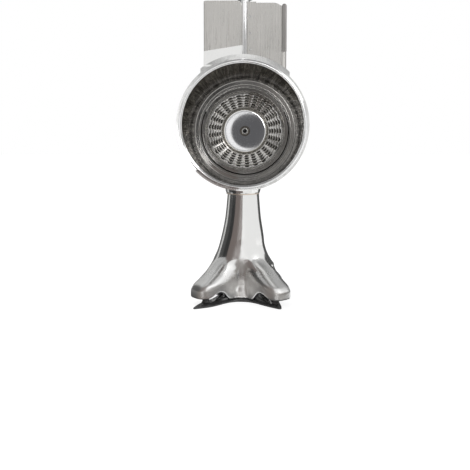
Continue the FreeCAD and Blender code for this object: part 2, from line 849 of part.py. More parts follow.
def star_angles():
    """Directions of the plan's corners, closest together at the middle of each toe."""
    angles = []
    for direction, arch, post, is_rear in toes:
        for index in range(toe_points):
            share = 2.0 * index / (toe_points - 1.0) - 1.0
            angles.append(math.radians(direction + toe_spread * (0.55 * share + 0.45 * share ** 3)))
    return angles


def star_ring(height, side, front_tip, rear_tip, sharpness):
    """Closed plan of the foot at one height."""
    points = []
    for angle in star_angles():
        radius = star_radius(angle, side, front_tip, rear_tip, sharpness)
        points.append(point(radius * math.cos(angle), radius * math.sin(angle), height))
    return points


def foot_levels():
    """Plans of the foot and the column, from the pad to the joint under the barrel."""
    levels = list(toe_profile)
    for share, side, front_tip, rear_tip, sharpness in column_profile:
        levels.append((toe_top + share * (column_top - toe_top), side, front_tip, rear_tip, sharpness))
    return levels + [(column_top,) + column_top_profile]


def foot_hollow():
    """The space under the foot, one wall inside the toes."""
    levels = []
    for height, level in ((pad_thickness - 1.0, toe_profile[0]), (hollow_middle, toe_profile[2]),
                          (hollow_top, toe_profile[3])):
        side, front_tip, rear_tip, sharpness = level[1:]
        levels.append((height, side - foot_wall, front_tip - toe_wall, rear_tip - toe_wall, sharpness))
    return stacked([star_ring(*level) for level in levels])


def arch_cutter(distance):
    """Half round opening across a toe that points along +X."""
    corners = [point(distance + across, -arch_length / 2.0, up)
               for across, up in arc_points(0.0, pad_thickness, arch_radius, 0.0, 180.0, arch_sides)]
    return Part.Face(Part.makePolygon(corners + corners[:1])).extrude(point(0, arch_length, 0))


def make_foot_column():
    """Cast column that flares into four arched toes, hollow underneath, with the toes' tips off the pad."""
    casting = stacked([star_ring(*level) for level in foot_levels()])
    web = rod_z(toe_profile[0][1] - web_margin, web_bottom, hollow_top + web_margin)
    casting = casting.cut(foot_hollow().cut(web))
    casting = casting.cut(sided([(cavity_radius, web_top), (cavity_radius, cavity_top)], round_sides,
                                above(0.0, 0.0)))
    casting = casting.cut(rod_z(stem_radius + stem_gap, 0.0, cavity_top))
    half = arch_length / 2.0
    for direction, arch_distance, post_distance, is_rear in toes:
        relief = block(arch_distance, arch_distance + half, -half, half, 0.0, pad_thickness + toe_lift)
        opening = arch_cutter(arch_distance).fuse(relief)
        opening.rotate(point(0, 0, 0), Z_AXIS, direction)
        casting = casting.cut(opening)
    slot = block(-cheek_outer - slot_gap, cheek_outer + slot_gap, stem_radius, slot_reach, web_top,
                 cavity_top - slot_lintel)
    return yawed(casting.cut(slot))


def make_barrel_saddle():
    """Cast seat between the column's top and the barrel."""
    bottom = column_top + collar_joint
    side = column_top_profile[0]
    profile = [(side + out, bottom + rise) for rise, out in seat_profile]
    return clear_of_barrel(sided(profile, round_sides, above(column_x, 0.0)))


def make_joint_ring():
    """Thin spacer ring in the joint on top of the column."""
    radius = column_top_profile[0] + seat_profile[0][1]
    profile = [(radius, column_top), (radius, column_top + collar_joint)]
    return sided(profile, round_sides, above(column_x, 0.0))


def make_pad():
    """Rubber pad under the foot, with a post in each arch."""
    side, front_tip, rear_tip, sharpness = toe_profile[0][1:]
    grown = (side + pad_margin, front_tip + pad_margin, rear_tip + pad_margin, sharpness)
    pad = stacked([star_ring(0.0, *grown), star_ring(pad_thickness, *grown)])
    posts = []
    for direction, arch_distance, post_distance, is_rear in toes:
        angle = math.radians(direction)
        posts.append(rod_z(post_radius, pad_thickness - 0.5, hollow_top - post_gap,
                           post_distance * math.cos(angle), post_distance * math.sin(angle)))
    return yawed(pad.fuse(posts).removeSplitter())


# ---- suction lever --------------------------------------------------------------------------

def make_lift_stem():
    """Stem that lifts the middle of the pad: a disc, a round stem and a hole for the pin."""
    bottom = pad_thickness + lift_travel + disc_gap
    disc = rod_z(stem_disc_radius, bottom, bottom + stem_disc_thickness)
    stem = rod_z(stem_radius, bottom, pivot_height + lever_pin_radius + stem_eye)
    bore = rod_x(lever_pin_radius + fixed_gap, cheek_outer, 0.0, pivot_height)
    return yawed(disc.fuse(stem).cut(bore).removeSplitter())


def make_lever_pin():
    """Cross pin of the lever."""
    return yawed(rod_x(lever_pin_radius, cheek_outer + pin_end, 0.0, pivot_height))


def make_cam_lever():
    """Lever with two eccentric cheeks, one on each side of the stem."""
    half_swing = math.radians(lever_swing / 2.0)
    cam_y = cam_offset * math.cos(half_swing)
    cam_z = pivot_height - cam_offset * math.sin(half_swing)
    pieces = []
    for side in (-1.0, 1.0):
        inner = side * cheek_inner
        cheek = Part.makeCylinder(cam_radius, cheek_thickness, point(inner, cam_y, cam_z), X_AXIS * side)
        pieces.append(cheek)
    reach = cam_y + cam_radius
    low = pivot_height - lever_thickness / 2.0
    high = pivot_height + lever_thickness / 2.0
    arm = block(-cheek_outer, cheek_outer, reach - 2.0, lever_length, low, high)
    root = block(-cheek_outer, cheek_outer, stem_radius + stem_eye, reach, low, high)
    tip_edges = [edge for edge in arm.Edges if edge.BoundBox.ZLength > 1.0
                 and abs(edge.CenterOfMass.y - lever_length) < 0.01]
    arm = arm.makeFillet(lever_corner, tip_edges)
    lever = pieces[0].fuse([pieces[1], arm, root])
    bore = rod_x(lever_pin_radius + running_gap, cheek_outer + 1.0, 0.0, pivot_height)
    return yawed(lever.cut(bore).removeSplitter())


def make_lever_grip():
    """Soft sleeve on the lever's end."""
    front = lever_length - lever_grip_length
    half_w = cheek_outer + grip_side
    half_h = lever_thickness / 2.0 + grip_skin
    sleeve = block(-half_w, half_w, front, lever_length + grip_end,
                   pivot_height - half_h, pivot_height + half_h)
    sleeve = sleeve.makeFillet(grip_corner, [edge for edge in sleeve.Edges if edge.BoundBox.ZLength > 1.0])
    pocket = block(-cheek_outer, cheek_outer, front - 1.0, lever_length,
                   pivot_height - lever_thickness / 2.0, pivot_height + lever_thickness / 2.0)
    pocket_edges = [edge for edge in pocket.Edges if edge.BoundBox.ZLength > 1.0
                    and abs(edge.CenterOfMass.y - lever_length) < 0.01]
    pocket = pocket.makeFillet(lever_corner, pocket_edges)
    return yawed(sleeve.cut(pocket))


PIECES = {
    "barrel": make_barrel,
    "rim": make_rim,
    "collar": make_collar,
    "guide_ring": make_guide_ring,
    "drum": make_drum,
    "drum_seam": make_drum_seam,
    "drum_hub": make_drum_hub,
    "hub_screw": make_hub_screw,
    "screw_washer": make_screw_washer,
    "shaft": make_shaft,
    "bearing_bush": make_bush,
    "thrust_washers": make_thrust_washers,
    "crank_arm": make_crank_arm,
    "crank_nut": make_crank_nut,
    "knob_pin": make_knob_pin,
    "crank_knob": make_crank_knob,
    "hopper_left": make_hopper_left,
    "hopper_right": make_hopper_right,
    "edge_bar": make_edge_bar,
    "seam_strip": make_seam_strip,
    "rivet_strap": make_strap,
    "strap_rivets": make_rivets,
    "hopper_saddle": make_hopper_saddle,
    "feed_chute": make_chute,
    "pusher_block": make_pusher_block,
    "pusher_rod": make_pusher_rod,
    "pusher_grip": make_pusher_grip,
    "foot_column": make_foot_column,
    "barrel_saddle": make_barrel_saddle,
    "joint_ring": make_joint_ring,
    "foot_pad": make_pad,
    "lift_stem": make_lift_stem,
    "lever_pin": make_lever_pin,
    "cam_lever": make_cam_lever,
    "lever_grip": make_lever_grip,
}


def main():
    os.makedirs("parts", exist_ok=True)
    for name, make in PIECES.items():
        shape = make()
        solids = shape.Solids
        print(name, "solids", len(solids), "valid", shape.isValid(), "volume", round(shape.Volume, 1))
        if len(solids) == 1:
            shape = solids[0]
        shape.exportStep("parts/" + name + ".step")


main()
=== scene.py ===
# %% [markdown]
# # A hand cranked drum shredder in polished metal
# The solid model of this kitchen tool is already measured and packed. This lesson dresses it: it
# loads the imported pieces, lights them as polished metal wants to be lit, gives every piece a
# finish made from nodes, and rebuilds in fine meshes the pieces that need softer forms. Every
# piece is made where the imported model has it. Blender counts in metres, while profiles, outlines
# and heights of the pieces are written in millimetres, as on a drawing, and scaled when made.

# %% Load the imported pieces
import json
import math

import bmesh
import bpy
import numpy as np
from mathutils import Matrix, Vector


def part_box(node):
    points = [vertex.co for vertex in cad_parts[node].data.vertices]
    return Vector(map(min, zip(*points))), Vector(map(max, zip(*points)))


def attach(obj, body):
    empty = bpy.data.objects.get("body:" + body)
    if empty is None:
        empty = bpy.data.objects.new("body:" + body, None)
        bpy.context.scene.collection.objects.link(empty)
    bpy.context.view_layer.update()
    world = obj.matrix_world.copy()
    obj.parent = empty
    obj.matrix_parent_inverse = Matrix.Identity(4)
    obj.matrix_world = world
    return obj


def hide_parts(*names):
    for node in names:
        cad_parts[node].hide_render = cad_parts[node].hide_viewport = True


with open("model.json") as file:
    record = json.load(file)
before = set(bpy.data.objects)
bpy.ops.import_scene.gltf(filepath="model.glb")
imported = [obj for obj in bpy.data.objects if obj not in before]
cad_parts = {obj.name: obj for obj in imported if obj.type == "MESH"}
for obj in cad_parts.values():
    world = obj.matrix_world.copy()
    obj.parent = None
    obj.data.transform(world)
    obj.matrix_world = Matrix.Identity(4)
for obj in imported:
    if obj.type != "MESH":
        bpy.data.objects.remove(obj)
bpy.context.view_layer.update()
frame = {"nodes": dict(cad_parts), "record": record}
nodes = frame["nodes"]
print("packed pieces:", len(nodes))

# %% [markdown]
# ## The camera
# A shredder is shown from its mouth. The camera stands on the drum's axis, so the cone, its rings
# and the hub stay concentric, and the whole tool hangs below the mouth in the view. A small
# pitch takes most of the drop, and a small shift takes the rest without bending the column.

# %% Camera on the drum's axis
rim_low, rim_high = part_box("rim")
hub_low, hub_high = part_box("drum_hub")
drum_axis = (hub_low.z + hub_high.z) / 2.0
camera_distance = 0.600
camera_pitch, camera_turn = 4.6, 0.886

camera_data = bpy.data.cameras.new("front_camera")
camera_data.sensor_width = 36.0
camera_data.lens = 49.02
camera_data.shift_y = -0.1117
camera = bpy.data.objects.new("front_camera", camera_data)
camera.location = (0.0, rim_low.y - camera_distance, drum_axis)
camera.rotation_euler = (math.radians(90.0 - camera_pitch), 0.0, math.radians(camera_turn))
bpy.context.scene.collection.objects.link(camera)
bpy.context.scene.camera = camera
bpy.context.scene.view_settings.view_transform = "Standard"
print("camera height", round(camera.location.z, 3), "lens", camera_data.lens)

# %% [markdown]
# ## Node helpers
# Every finish below is a small node graph. The first class adds nodes to any node tree with their
# inputs filled in. The second one is for a material: it knows the Principled shader and has one
# method for each step that the finishes share, such as a noise, a range or a relief. Written out
# node by node the same graphs would fill pages and hide what makes one finish unlike the next.

# %% Helper for node trees


class NodeGraph:
    """A node tree with a short way to add nodes."""

    def __init__(self, tree):
        self.tree = tree

    def feed(self, socket, value):
        """Link a socket to the one given, or set its value."""
        if isinstance(value, bpy.types.NodeSocket):
            self.tree.links.new(value, socket)
        else:
            socket.default_value = value

    def add(self, kind, settings=None, **inputs):
        """Add a node. An input goes by its name, or by its number as in _0."""
        node = self.tree.nodes.new(kind)
        for key, value in (settings or {}).items():
            setattr(node, key, value)
        for key, value in inputs.items():
            number = key[1:]
            self.feed(node.inputs[int(number) if number.isdigit() else key.replace("_", " ")], value)
        return node

    def reckon(self, operation, *values):
        """One number worked out from others, which are values or sockets."""
        node = self.add("ShaderNodeMath", {"operation": operation})
        for socket, value in zip(node.inputs, values):
            self.feed(socket, value)
        return node.outputs[0]


print("node trees can be filled")

# %% Helper for finishes


class Finish(NodeGraph):
    """A material under construction, with its shader at hand."""

    def __init__(self, material, colour=None):
        material.use_nodes = True
        super().__init__(material.node_tree)
        self.material = material
        self.colour = colour
        self.shader = self.tree.nodes["Principled BSDF"]

    def give(self, name, value):
        """Feed one input of the shader."""
        self.feed(self.shader.inputs[name], value)

    def source(self, name):
        """The socket that feeds one input of the shader so far."""
        return self.shader.inputs[name].links[0].from_socket

    def spot(self):
        """Where a spot lies on the piece, in metres."""
        return self.add("ShaderNodeTexCoord").outputs["Object"]

    def coordinates(self):
        """The X, Y and Z of a spot."""
        return self.add("ShaderNodeSeparateXYZ", _0=self.spot()).outputs

    def off_axis(self, spot, centre):
        """How far a spot lies to the right of an axis along Y, and how far above it."""
        return self.reckon("SUBTRACT", spot["X"], centre[0]), self.reckon("SUBTRACT", spot["Z"], centre[1])

    def noise(self, scale, detail=3.0, stretch=(1.0, 1.0, 1.0), where=None):
        """Noise between 0 and 1. It runs long in the direction where stretch is small."""
        if where is None:
            where = self.add("ShaderNodeMapping", Vector=self.spot(), Scale=stretch).outputs["Vector"]
        return self.add("ShaderNodeTexNoise", Vector=where, Scale=scale, Detail=detail).outputs["Fac"]

    def spread(self, source, low, high, start=0.3, end=0.7):
        """Map a texture onto a range of values."""
        return self.add("ShaderNodeMapRange", Value=source, From_Min=start, From_Max=end,
                        To_Min=low, To_Max=high).outputs["Result"]

    def mixed(self, share, first, second):
        """A colour between two others."""
        return self.add("ShaderNodeMix", {"data_type": "RGBA"}, _0=share, _6=first, _7=second).outputs[2]

    def tint(self, source, dark, light):
        """Vary the base colour between two shades of itself."""
        shades = [(*(channel * share for channel in self.colour), 1.0) for share in (dark, light)]
        self.give("Base Color", self.mixed(source, *shades))

    def bump(self, height, depth):
        """Relief of the given depth in metres, on top of any relief there already."""
        node = self.add("ShaderNodeBump", Height=height, Distance=depth)
        if self.shader.inputs["Normal"].links:
            self.feed(node.inputs["Normal"], self.source("Normal"))
        self.give("Normal", node.outputs["Normal"])


def new_finish(name, colour, metallic, roughness):
    """A new material of one colour, to work on."""
    finish = Finish(bpy.data.materials.new(name), colour)
    finish.give("Base Color", (*colour, 1.0))
    finish.give("Metallic", metallic)
    finish.give("Roughness", roughness)
    return finish


def copied_finish(base, name):
    """A copy of a finished material, to work on further."""
    material = base.copy()
    material.name = name
    return Finish(material)


print("finish helpers ready")

# %% [markdown]
# ## Polished metal
# The barrel, the column and the saddles are cast and polished by hand. Close up such a surface is
# never a perfect mirror: it is a little wavy from the casting, it has fine polishing lines, and
# fingers leave patches that scatter more. Broad noise bends the mirror, fine noise lifts the
# roughness, and both stay faint. The bright trim is the same metal polished once more. The guide
# ring, the drum's lip and the screw in the mouth are steels with the same polish. The lip is much
# darker than the drum's sheet it belongs to, which is painted shade of the gap it turns in.

# %% Polished finishes


def polished(name, colour, roughness, wave):
    """Hand polished metal: slow waves, fine lines and a few duller patches."""
    finish = new_finish(name, colour, 1.0, roughness)
    patches = finish.noise(28.0, 4.0)
    lines = finish.noise(900.0, 2.0, (1.0, 1.0, 0.12))
    finish.tint(patches, 0.94, 1.0)
    patchy = finish.spread(patches, 0.0, 0.06)
    lined = finish.spread(lines, roughness - 0.02, roughness + 0.03)
    finish.give("Roughness", finish.reckon("ADD", patchy, lined))
    finish.bump(finish.noise(45.0, 2.0), wave)
    finish.bump(lines, 0.000004)
    return finish.material


polished_cast = polished("polished_cast", (0.80, 0.80, 0.79), 0.09, 0.00025)
polished_trim = polished("polished_trim", (0.86, 0.86, 0.86), 0.06, 0.00008)
ring_steel = polished("ring_steel", (0.40, 0.39, 0.375), 0.05, 0.00003)
# the lip's dark colour is painted shade of the gap it turns in
lip_steel_painted_shade = polished("lip_steel_painted_shade", (0.26, 0.25, 0.24), 0.08, 0.00002)
screw_bright = polished("screw_bright", (0.80, 0.79, 0.77), 0.10, 0.00001)
print("polished finishes:", polished_cast.name, polished_trim.name, ring_steel.name)

# %% [markdown]
# ## Painted shade in the bores
# The barrel's inside is left as cast, so it is dull, and little light gets past the collar: its
# dark colour is painted shade. The socket of the hub's screw is a deep recess with painted shade
# too. Both pieces are one solid with their bright outside, so the finish itself has to know where
# it is: a copy of it gets a painted shade colour and more roughness for every spot that is near
# enough to the bore's axis and between two depths.

# %% Finishes with painted shade in a bore


def bore_in_painted_shade(base, name, centre, radius, front, back, dark, dullness=0.5):
    """A copy of a finish with a painted shade colour and more roughness within a bore along Y, between two
    depths.
    """
    finish = copied_finish(base, name)
    spot = finish.coordinates()
    across, up = finish.off_axis(spot, centre)
    square = finish.reckon("MULTIPLY_ADD", up, up, finish.reckon("MULTIPLY", across, across))
    reach = finish.reckon("SQRT", square)
    within = finish.reckon("LESS_THAN", reach, radius)
    behind = finish.reckon("GREATER_THAN", spot["Y"], front)
    ahead = finish.reckon("LESS_THAN", spot["Y"], back)
    share = finish.reckon("MULTIPLY", finish.reckon("MULTIPLY", within, behind), ahead)
    # painted shade: a dark colour mixed in within the bore
    finish.give("Base Color", finish.mixed(share, finish.source("Base Color"), (*dark, 1.0)))
    finish.give("Roughness", finish.reckon("MULTIPLY_ADD", share, dullness, finish.source("Roughness")))
    return finish.material


mouth = ((rim_low.x + rim_high.x) / 2.0, (rim_low.z + rim_high.z) / 2.0)
bore_radius, bore_front, bore_back = 0.0608, rim_low.y + 0.005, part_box("barrel")[1].y - 0.0175
# painted shade inside the barrel, behind the mouth
barrel_with_shaded_bore = bore_in_painted_shade(polished_cast, "barrel_with_shaded_bore", mouth, bore_radius, bore_front, bore_back,
                        (0.10, 0.095, 0.09))
# painted shade in the socket of the hub's screw
socket_radius, socket_front, socket_back = 0.00212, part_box("hub_screw")[0].y + 0.0002, 1.0
screw_with_shaded_socket = bore_in_painted_shade(screw_bright, "screw_with_shaded_socket", (0.0, drum_axis), socket_radius, socket_front,
                        socket_back, (0.02, 0.02, 0.02))
print("dark from", round(bore_front, 4), "to", round(bore_back, 4), "in the barrel")

# %% [markdown]
# ## Collar, drum end and toes
# The collar is drawn over a form, which leaves streaks from the mouth inward, and the rows of the
# drum's holes reflect in it as radial streaks. So its streaks are partly real draw marks, in its
# roughness and relief, and partly painted reflection, in the strong light and dark of its colour.
# Plain noise can't follow a funnel, so this one is laid out by the turn round the axis and the
# depth along it. The drum's end is faced on a lathe, and gets a calm mirror with hardly any wave.
# On the column the polishing wheel reaches the shaft better than the toes, so there the roughness
# rises toward the table: a copy of the cast finish adds a little of it by height.

# %% Streaked finish with painted reflection, faced and duller finishes


def streaks_and_painted_reflection(name, colour, roughness, centre):
    """Drawn metal with streaks that run inward along an axis in Y: draw marks in roughness and relief,
    painted reflection in the colour.
    """
    finish = new_finish(name, colour, 1.0, roughness)
    spot = finish.coordinates()
    across, up = finish.off_axis(spot, centre)
    # a turn counts in radians and the depth in only 2.5 times its metres, so a streak is long
    turn, depth = finish.reckon("ARCTAN2", up, across), finish.reckon("MULTIPLY", spot["Y"], 2.5)
    where = finish.add("ShaderNodeCombineXYZ", _0=turn, _1=depth).outputs["Vector"]
    wide, thin = finish.noise(9.0, 4.0, where=where), finish.noise(30.0, 3.0, where=where)
    both = finish.reckon("ADD", finish.spread(wide, 0.0, 0.5, 0.35, 0.65),
                         finish.spread(thin, 0.0, 0.5, 0.35, 0.65))
    # painted reflection: the streaks take the colour from 0.22 to 1.45 times the metal's own
    finish.tint(both, 0.22, 1.45)
    finish.give("Roughness", finish.spread(thin, roughness - 0.05, roughness + 0.10))
    finish.bump(both, 0.00025)
    return finish.material


def faced(name, colour, roughness):
    """Metal faced on a lathe: a calm mirror with faint clouds."""
    finish = new_finish(name, colour, 1.0, roughness)
    clouds = finish.noise(30.0, 3.0)
    finish.tint(clouds, 0.95, 1.0)
    finish.give("Roughness", finish.spread(clouds, roughness - 0.01, roughness + 0.02))
    return finish.material


def duller_below(base, name, low, high, extra):
    """A copy of a finish that gains roughness from one height down to another, in metres."""
    finish = copied_finish(base, name)
    more = finish.spread(finish.coordinates()["Z"], extra, 0.0, low, high)
    finish.give("Roughness", finish.reckon("ADD", more, finish.source("Roughness")))
    return finish.material


# the collar's colour carries a painted reflection of the drum's rows of holes
collar_steel_painted_streaks = streaks_and_painted_reflection("collar_steel_painted_streaks", (0.42, 0.41, 0.395), 0.13, mouth)
drum_end = faced("drum_end", (0.88, 0.88, 0.89), 0.035)
column_cast = duller_below(polished_cast, "column_cast", 0.018, 0.055, 0.20)
print("more finishes:", collar_steel_painted_streaks.name, drum_end.name, column_cast.name)

# %% [markdown]
# ## Brushed sheet and spun steel
# Sheet metal comes brushed one way, so its scratches are long in Z and thousandths of a
# millimetre deep. The drum is spun, so its tool marks run round it: noise that is stretched
# across the axis gives rings. Turned fixings get finer rings still. The punched hole edges get a
# near black colour, which is painted shade that lets the holes read dark. The screw's washer and
# the edge bar get darker colours. All three have the same kinds of grain.

# %% Brushed and spun finishes


def grained(name, colour, roughness, stretch, grain=1400.0, depth=0.00001, dark=0.88):
    """Metal with a directional grain. Stretch is small along the grain."""
    finish = new_finish(name, colour, 1.0, roughness)
    streaks = finish.noise(grain, 3.0, stretch)
    clouds = finish.noise(35.0, 3.0)
    finish.tint(streaks, dark, 1.0)
    cloudy = finish.spread(clouds, -0.03, 0.05)
    streaky = finish.spread(streaks, roughness - 0.07, roughness + 0.09)
    finish.give("Roughness", finish.reckon("ADD", cloudy, streaky))
    finish.bump(streaks, depth)
    return finish.material


upright, lathed, spun, even = (1.0, 1.0, 0.02), (0.1, 1.0, 0.1), (0.05, 1.0, 0.05), (1.0, 1.0, 1.0)
brushed_sheet = grained("brushed_sheet", (0.54, 0.527, 0.505), 0.27, upright, depth=0.000004, dark=0.94)
bar_steel = grained("bar_steel", (0.30, 0.29, 0.28), 0.30, upright)
drum_steel = grained("drum_steel", (0.50, 0.485, 0.455), 0.16, spun, 600.0, 0.000003, 0.95)
# the hole edges' near black is painted shade
hole_edge_painted_shade = grained("hole_edge_painted_shade", (0.022, 0.021, 0.02), 0.5, even, 900.0)
washer_dark = grained("washer_dark", (0.06, 0.055, 0.05), 0.30, lathed, 1600.0)
steel_fixings = grained("steel_fixings", (0.55, 0.55, 0.55), 0.24, lathed, 1600.0, 0.000006)
bearing_bronze = grained("bearing_bronze", (0.62, 0.48, 0.26), 0.34, lathed, 1200.0)
joint_seal = grained("joint_seal", (0.66, 0.58, 0.50), 0.45, lathed, 1200.0)
print("grained finishes:", brushed_sheet.name, drum_steel.name, steel_fixings.name)

# %% [markdown]
# ## Plastic and rubber
# The knob and the grip are moulded plastic with a slight sheen and hairline scuffs. The pusher is
# spark textured, which breaks up its gloss. Rubber is duller still, with a pale dusty bloom in
# patches, but the pad is new and smooth, so it gets a clear coat. All are dark, and the
# roughness does the work.

# %% Moulded finishes


def moulded(name, colour, roughness, grain, depth, bloom):
    """Moulded plastic or rubber: fine texture, scuffs and a pale bloom."""
    finish = new_finish(name, colour, 0.0, roughness)
    texture = finish.noise(grain, 2.0)
    scuffs = finish.noise(60.0, 5.0, (1.0, 1.0, 0.4))
    finish.tint(scuffs, 1.0, bloom)
    finish.give("Roughness", finish.spread(scuffs, roughness - 0.06, roughness + 0.12))
    finish.bump(texture, depth)
    return finish.material


def coated(base, name, coat_roughness, coat_ior):
    """A copy of a finish under a clear coat."""
    finish = copied_finish(base, name)
    finish.give("Coat Weight", 1.0)
    finish.give("Coat Roughness", coat_roughness)
    finish.give("Coat IOR", coat_ior)
    return finish.material


black_plastic = moulded("black_plastic", (0.028, 0.028, 0.030), 0.30, 700.0, 0.00002, 1.4)
pusher_plastic = moulded("pusher_plastic", (0.050, 0.050, 0.052), 0.52, 1500.0, 0.00006, 1.3)
black_rubber = moulded("black_rubber", (0.022, 0.022, 0.023), 0.62, 1100.0, 0.00004, 1.9)
pad_rubber = coated(black_rubber, "pad_rubber", 0.06, 1.45)
print("moulded finishes:", black_plastic.name, pusher_plastic.name, black_rubber.name, pad_rubber.name)

# %% [markdown]
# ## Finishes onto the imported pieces
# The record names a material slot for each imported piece, so the finishes can be handed out by
# name. A few pieces have a finish of their own instead. Pieces that are rebuilt later take theirs
# from the same table.

# %% Hand out the finishes
finishes = {
    "polished_cast": polished_cast, "polished_trim": polished_trim, "brushed_sheet": brushed_sheet,
    "drum_steel": drum_steel, "steel_fixings": steel_fixings, "bearing_bronze": bearing_bronze,
    "black_plastic": black_plastic, "pusher_plastic": pusher_plastic, "black_rubber": black_rubber,
}
own_finishes = {"edge_bar": bar_steel, "joint_ring": joint_seal, "barrel": barrel_with_shaded_bore,
                "hub_screw": screw_with_shaded_socket, "screw_washer": washer_dark}
slot_of = {part["node"]: part["material_slot"] for part in frame["record"]["subparts"]}
for node_name, node in nodes.items():
    node.data.materials.clear()
    node.data.materials.append(own_finishes.get(node_name, finishes[slot_of[node_name]]))
print("pieces with a finish:", len(slot_of))

# %% [markdown]
# ## Turned and lofted pieces
# Much of this tool is turned: rings, knob, grip. A turned piece is a profile swept round an axis,
# and its softness lies in the profile, so arcs get enough points that no facet shows in a
# reflection. Edges sharper than 35 degrees stay crisp and the rest is shaded smooth.

# %% Helper that adds a piece


def add_piece(name, points, faces, body, stands_for, sharp=35.0, finish=None):
    """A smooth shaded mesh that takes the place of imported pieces."""
    mesh = bpy.data.meshes.new(name)
    mesh.from_pydata([tuple(p) for p in points], [], faces)
    mesh.validate()
    shell = bmesh.new()
    shell.from_mesh(mesh)
    bmesh.ops.remove_doubles(shell, verts=shell.verts, dist=0.000002)
    bmesh.ops.recalc_face_normals(shell, faces=shell.faces)
    shell.to_mesh(mesh)
    shell.free()
    mesh.shade_smooth()
    mesh.set_sharp_from_angle(angle=math.radians(sharp))
    mesh.materials.append(finish or finishes[slot_of[stands_for[0]]])
    made = bpy.data.objects.new(name, mesh)
    bpy.context.scene.collection.objects.link(made)
    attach(made, body)
    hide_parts(*stands_for)
    print(name, "faces", len(mesh.polygons))
    return made


print("pieces can be added")

# %% Helpers for profiles and grids
mm = 0.001


def grid_faces(rows, columns, close_rows=False, close_columns=True):
    """Quads over rows of points. As a rule each row is a closed ring."""
    faces = []
    for row in range(rows if close_rows else rows - 1):
        for column in range(columns if close_columns else columns - 1):
            across = (column + 1) % columns
            below = (row + 1) % rows
            faces.append((row * columns + column, row * columns + across,
                          below * columns + across, below * columns + column))
    return faces


def arc(middle_radius, middle_along, turn, start, end, steps=8):
    """Profile points on an arc, in (radius, along) and degrees."""
    angles = np.radians(np.linspace(start, end, steps + 1))
    return [(middle_radius + turn * math.cos(a), middle_along + turn * math.sin(a)) for a in angles]


def turned_piece(name, profile, axis, centre, steps, body, stands_for, closed=True, finish=None):
    """A profile in millimetres, turned about a line along Y or Z through a centre in metres."""
    points = []
    for radius, along in profile:
        for step in range(steps):
            angle = 2.0 * math.pi * step / steps
            across, up = radius * mm * math.cos(angle), radius * mm * math.sin(angle)
            if axis == "Y":
                points.append((centre[0] + across, along * mm, centre[1] + up))
            else:
                points.append((centre[0] + across, centre[1] + up, along * mm))
    faces = grid_faces(len(profile), steps, closed)
    return add_piece(name, points, faces, body, stands_for, finish=finish)


print("an arc of 90 degrees has", len(arc(0.0, 0.0, 1.0, 0.0, 90.0)), "points")

# %% [markdown]
# ## Rim and guide ring
# The rim is a round bead between two fine grooves, and it draws the thin bright circle that the
# eye follows. The guide ring is a stepped ring with two beads, and the drum's lip turns inside
# it. Both are plain profiles, turned in many steps because polished metal shows every facet.

# %% Rim
rim_bore, rim_outside = 57.4, 60.8
rim_front, rim_back = -69.6, -66.4
bead_middle, bead = 59.15, 1.1
groove = rim_back - 0.5
rim_profile = [(rim_bore, rim_back), (rim_bore, rim_back - 1.2), (rim_bore + 0.3, rim_back - 1.4),
               (rim_bore + 0.6, rim_back - 1.2), (rim_bore + 0.7, groove)]
rim_profile += arc(bead_middle, rim_front + bead, bead, 180.0, 360.0, 14)
rim_profile += [(rim_outside - 0.5, groove), (rim_outside - 0.4, rim_back - 1.2),
                (rim_outside - 0.2, rim_back - 1.3), (rim_outside, rim_back - 1.1), (rim_outside, rim_back)]
turned_piece("mouth_rim", rim_profile, "Y", mouth, 256, "stand", ["rim"])

# %% Guide ring
drum_centre = (0.0, drum_axis)
ring_outside, ring_bore, ring_back = 51.1, 43.4, -32.0
edge_round = 0.35
small_bead, large_bead = (45.5, -35.7, 0.6), (49.2, -36.6, 0.75)
ring_profile = [(ring_outside, -37.0), (ring_outside, ring_back), (ring_bore, ring_back), (ring_bore, -34.6)]
ring_profile += arc(ring_bore + edge_round, -34.9, edge_round, 180.0, 270.0, 5)
ring_profile += [(44.9, -35.25), (44.9, -35.7)]
ring_profile += arc(*small_bead, 180.0, 360.0, 10)[1:]
ring_profile += [(46.1, -35.5), (48.45, -35.5), (48.45, -36.6)]
ring_profile += arc(*large_bead, 180.0, 360.0, 12)[1:]
turned_piece("drum_guide", ring_profile, "Y", drum_centre, 256, "stand", ["guide_ring"], finish=ring_steel)

# %% [markdown]
# ## Collar
# The collar joins two circles that don't share a centre: the wide mouth, set a little up and to
# the left, and the ring round the drum. The wall between them is drawn over a form, which leaves
# faint flutes along its slope. A ruled surface between the circles gives the shape, and a slight
# bow keeps its reflections moving.

# %% Collar between two circles
collar_steps, collar_rows = 720, 15
collar_narrow, collar_back = 49.6, -38.0
collar_wall, collar_bow, flute_depth = 1.5, 0.5, 2.0
flute_waves = (17, 26, 37, 49, 58, 71, 83, 97)
rng = np.random.default_rng(7)
flute_turns = np.linspace(0.0, 2.0 * math.pi, collar_steps, endpoint=False)
flutes = sum(rng.uniform(0.4, 1.0) / waves * np.cos(waves * flute_turns + rng.uniform(0.0, 6.28))
             for waves in flute_waves)


def collar_ring(share, offset):
    """A ring at a share of the way from the mouth (0) to the drum (1)."""
    swell = math.sin(math.pi * share)
    radius = (rim_bore + (collar_narrow - rim_bore) * share + offset - collar_bow * swell) * mm
    x = mouth[0] + (drum_centre[0] - mouth[0]) * share
    y = (rim_back + (collar_back - rim_back) * share) * mm
    z = mouth[1] + (drum_centre[1] - mouth[1]) * share
    radii = radius + flutes * flute_depth * mm * swell
    return [(x + r * math.cos(a), y, z + r * math.sin(a)) for r, a in zip(radii, flute_turns)]


shares = np.linspace(0.0, 1.0, collar_rows)
points = [p for share in shares for p in collar_ring(share, 0.0)]
points += [p for share in shares[::-1] for p in collar_ring(share, collar_wall)]
faces = grid_faces(2 * collar_rows, collar_steps, True)
add_piece("mouth_collar", points, faces, "stand", ["collar"], finish=collar_steel_painted_streaks)

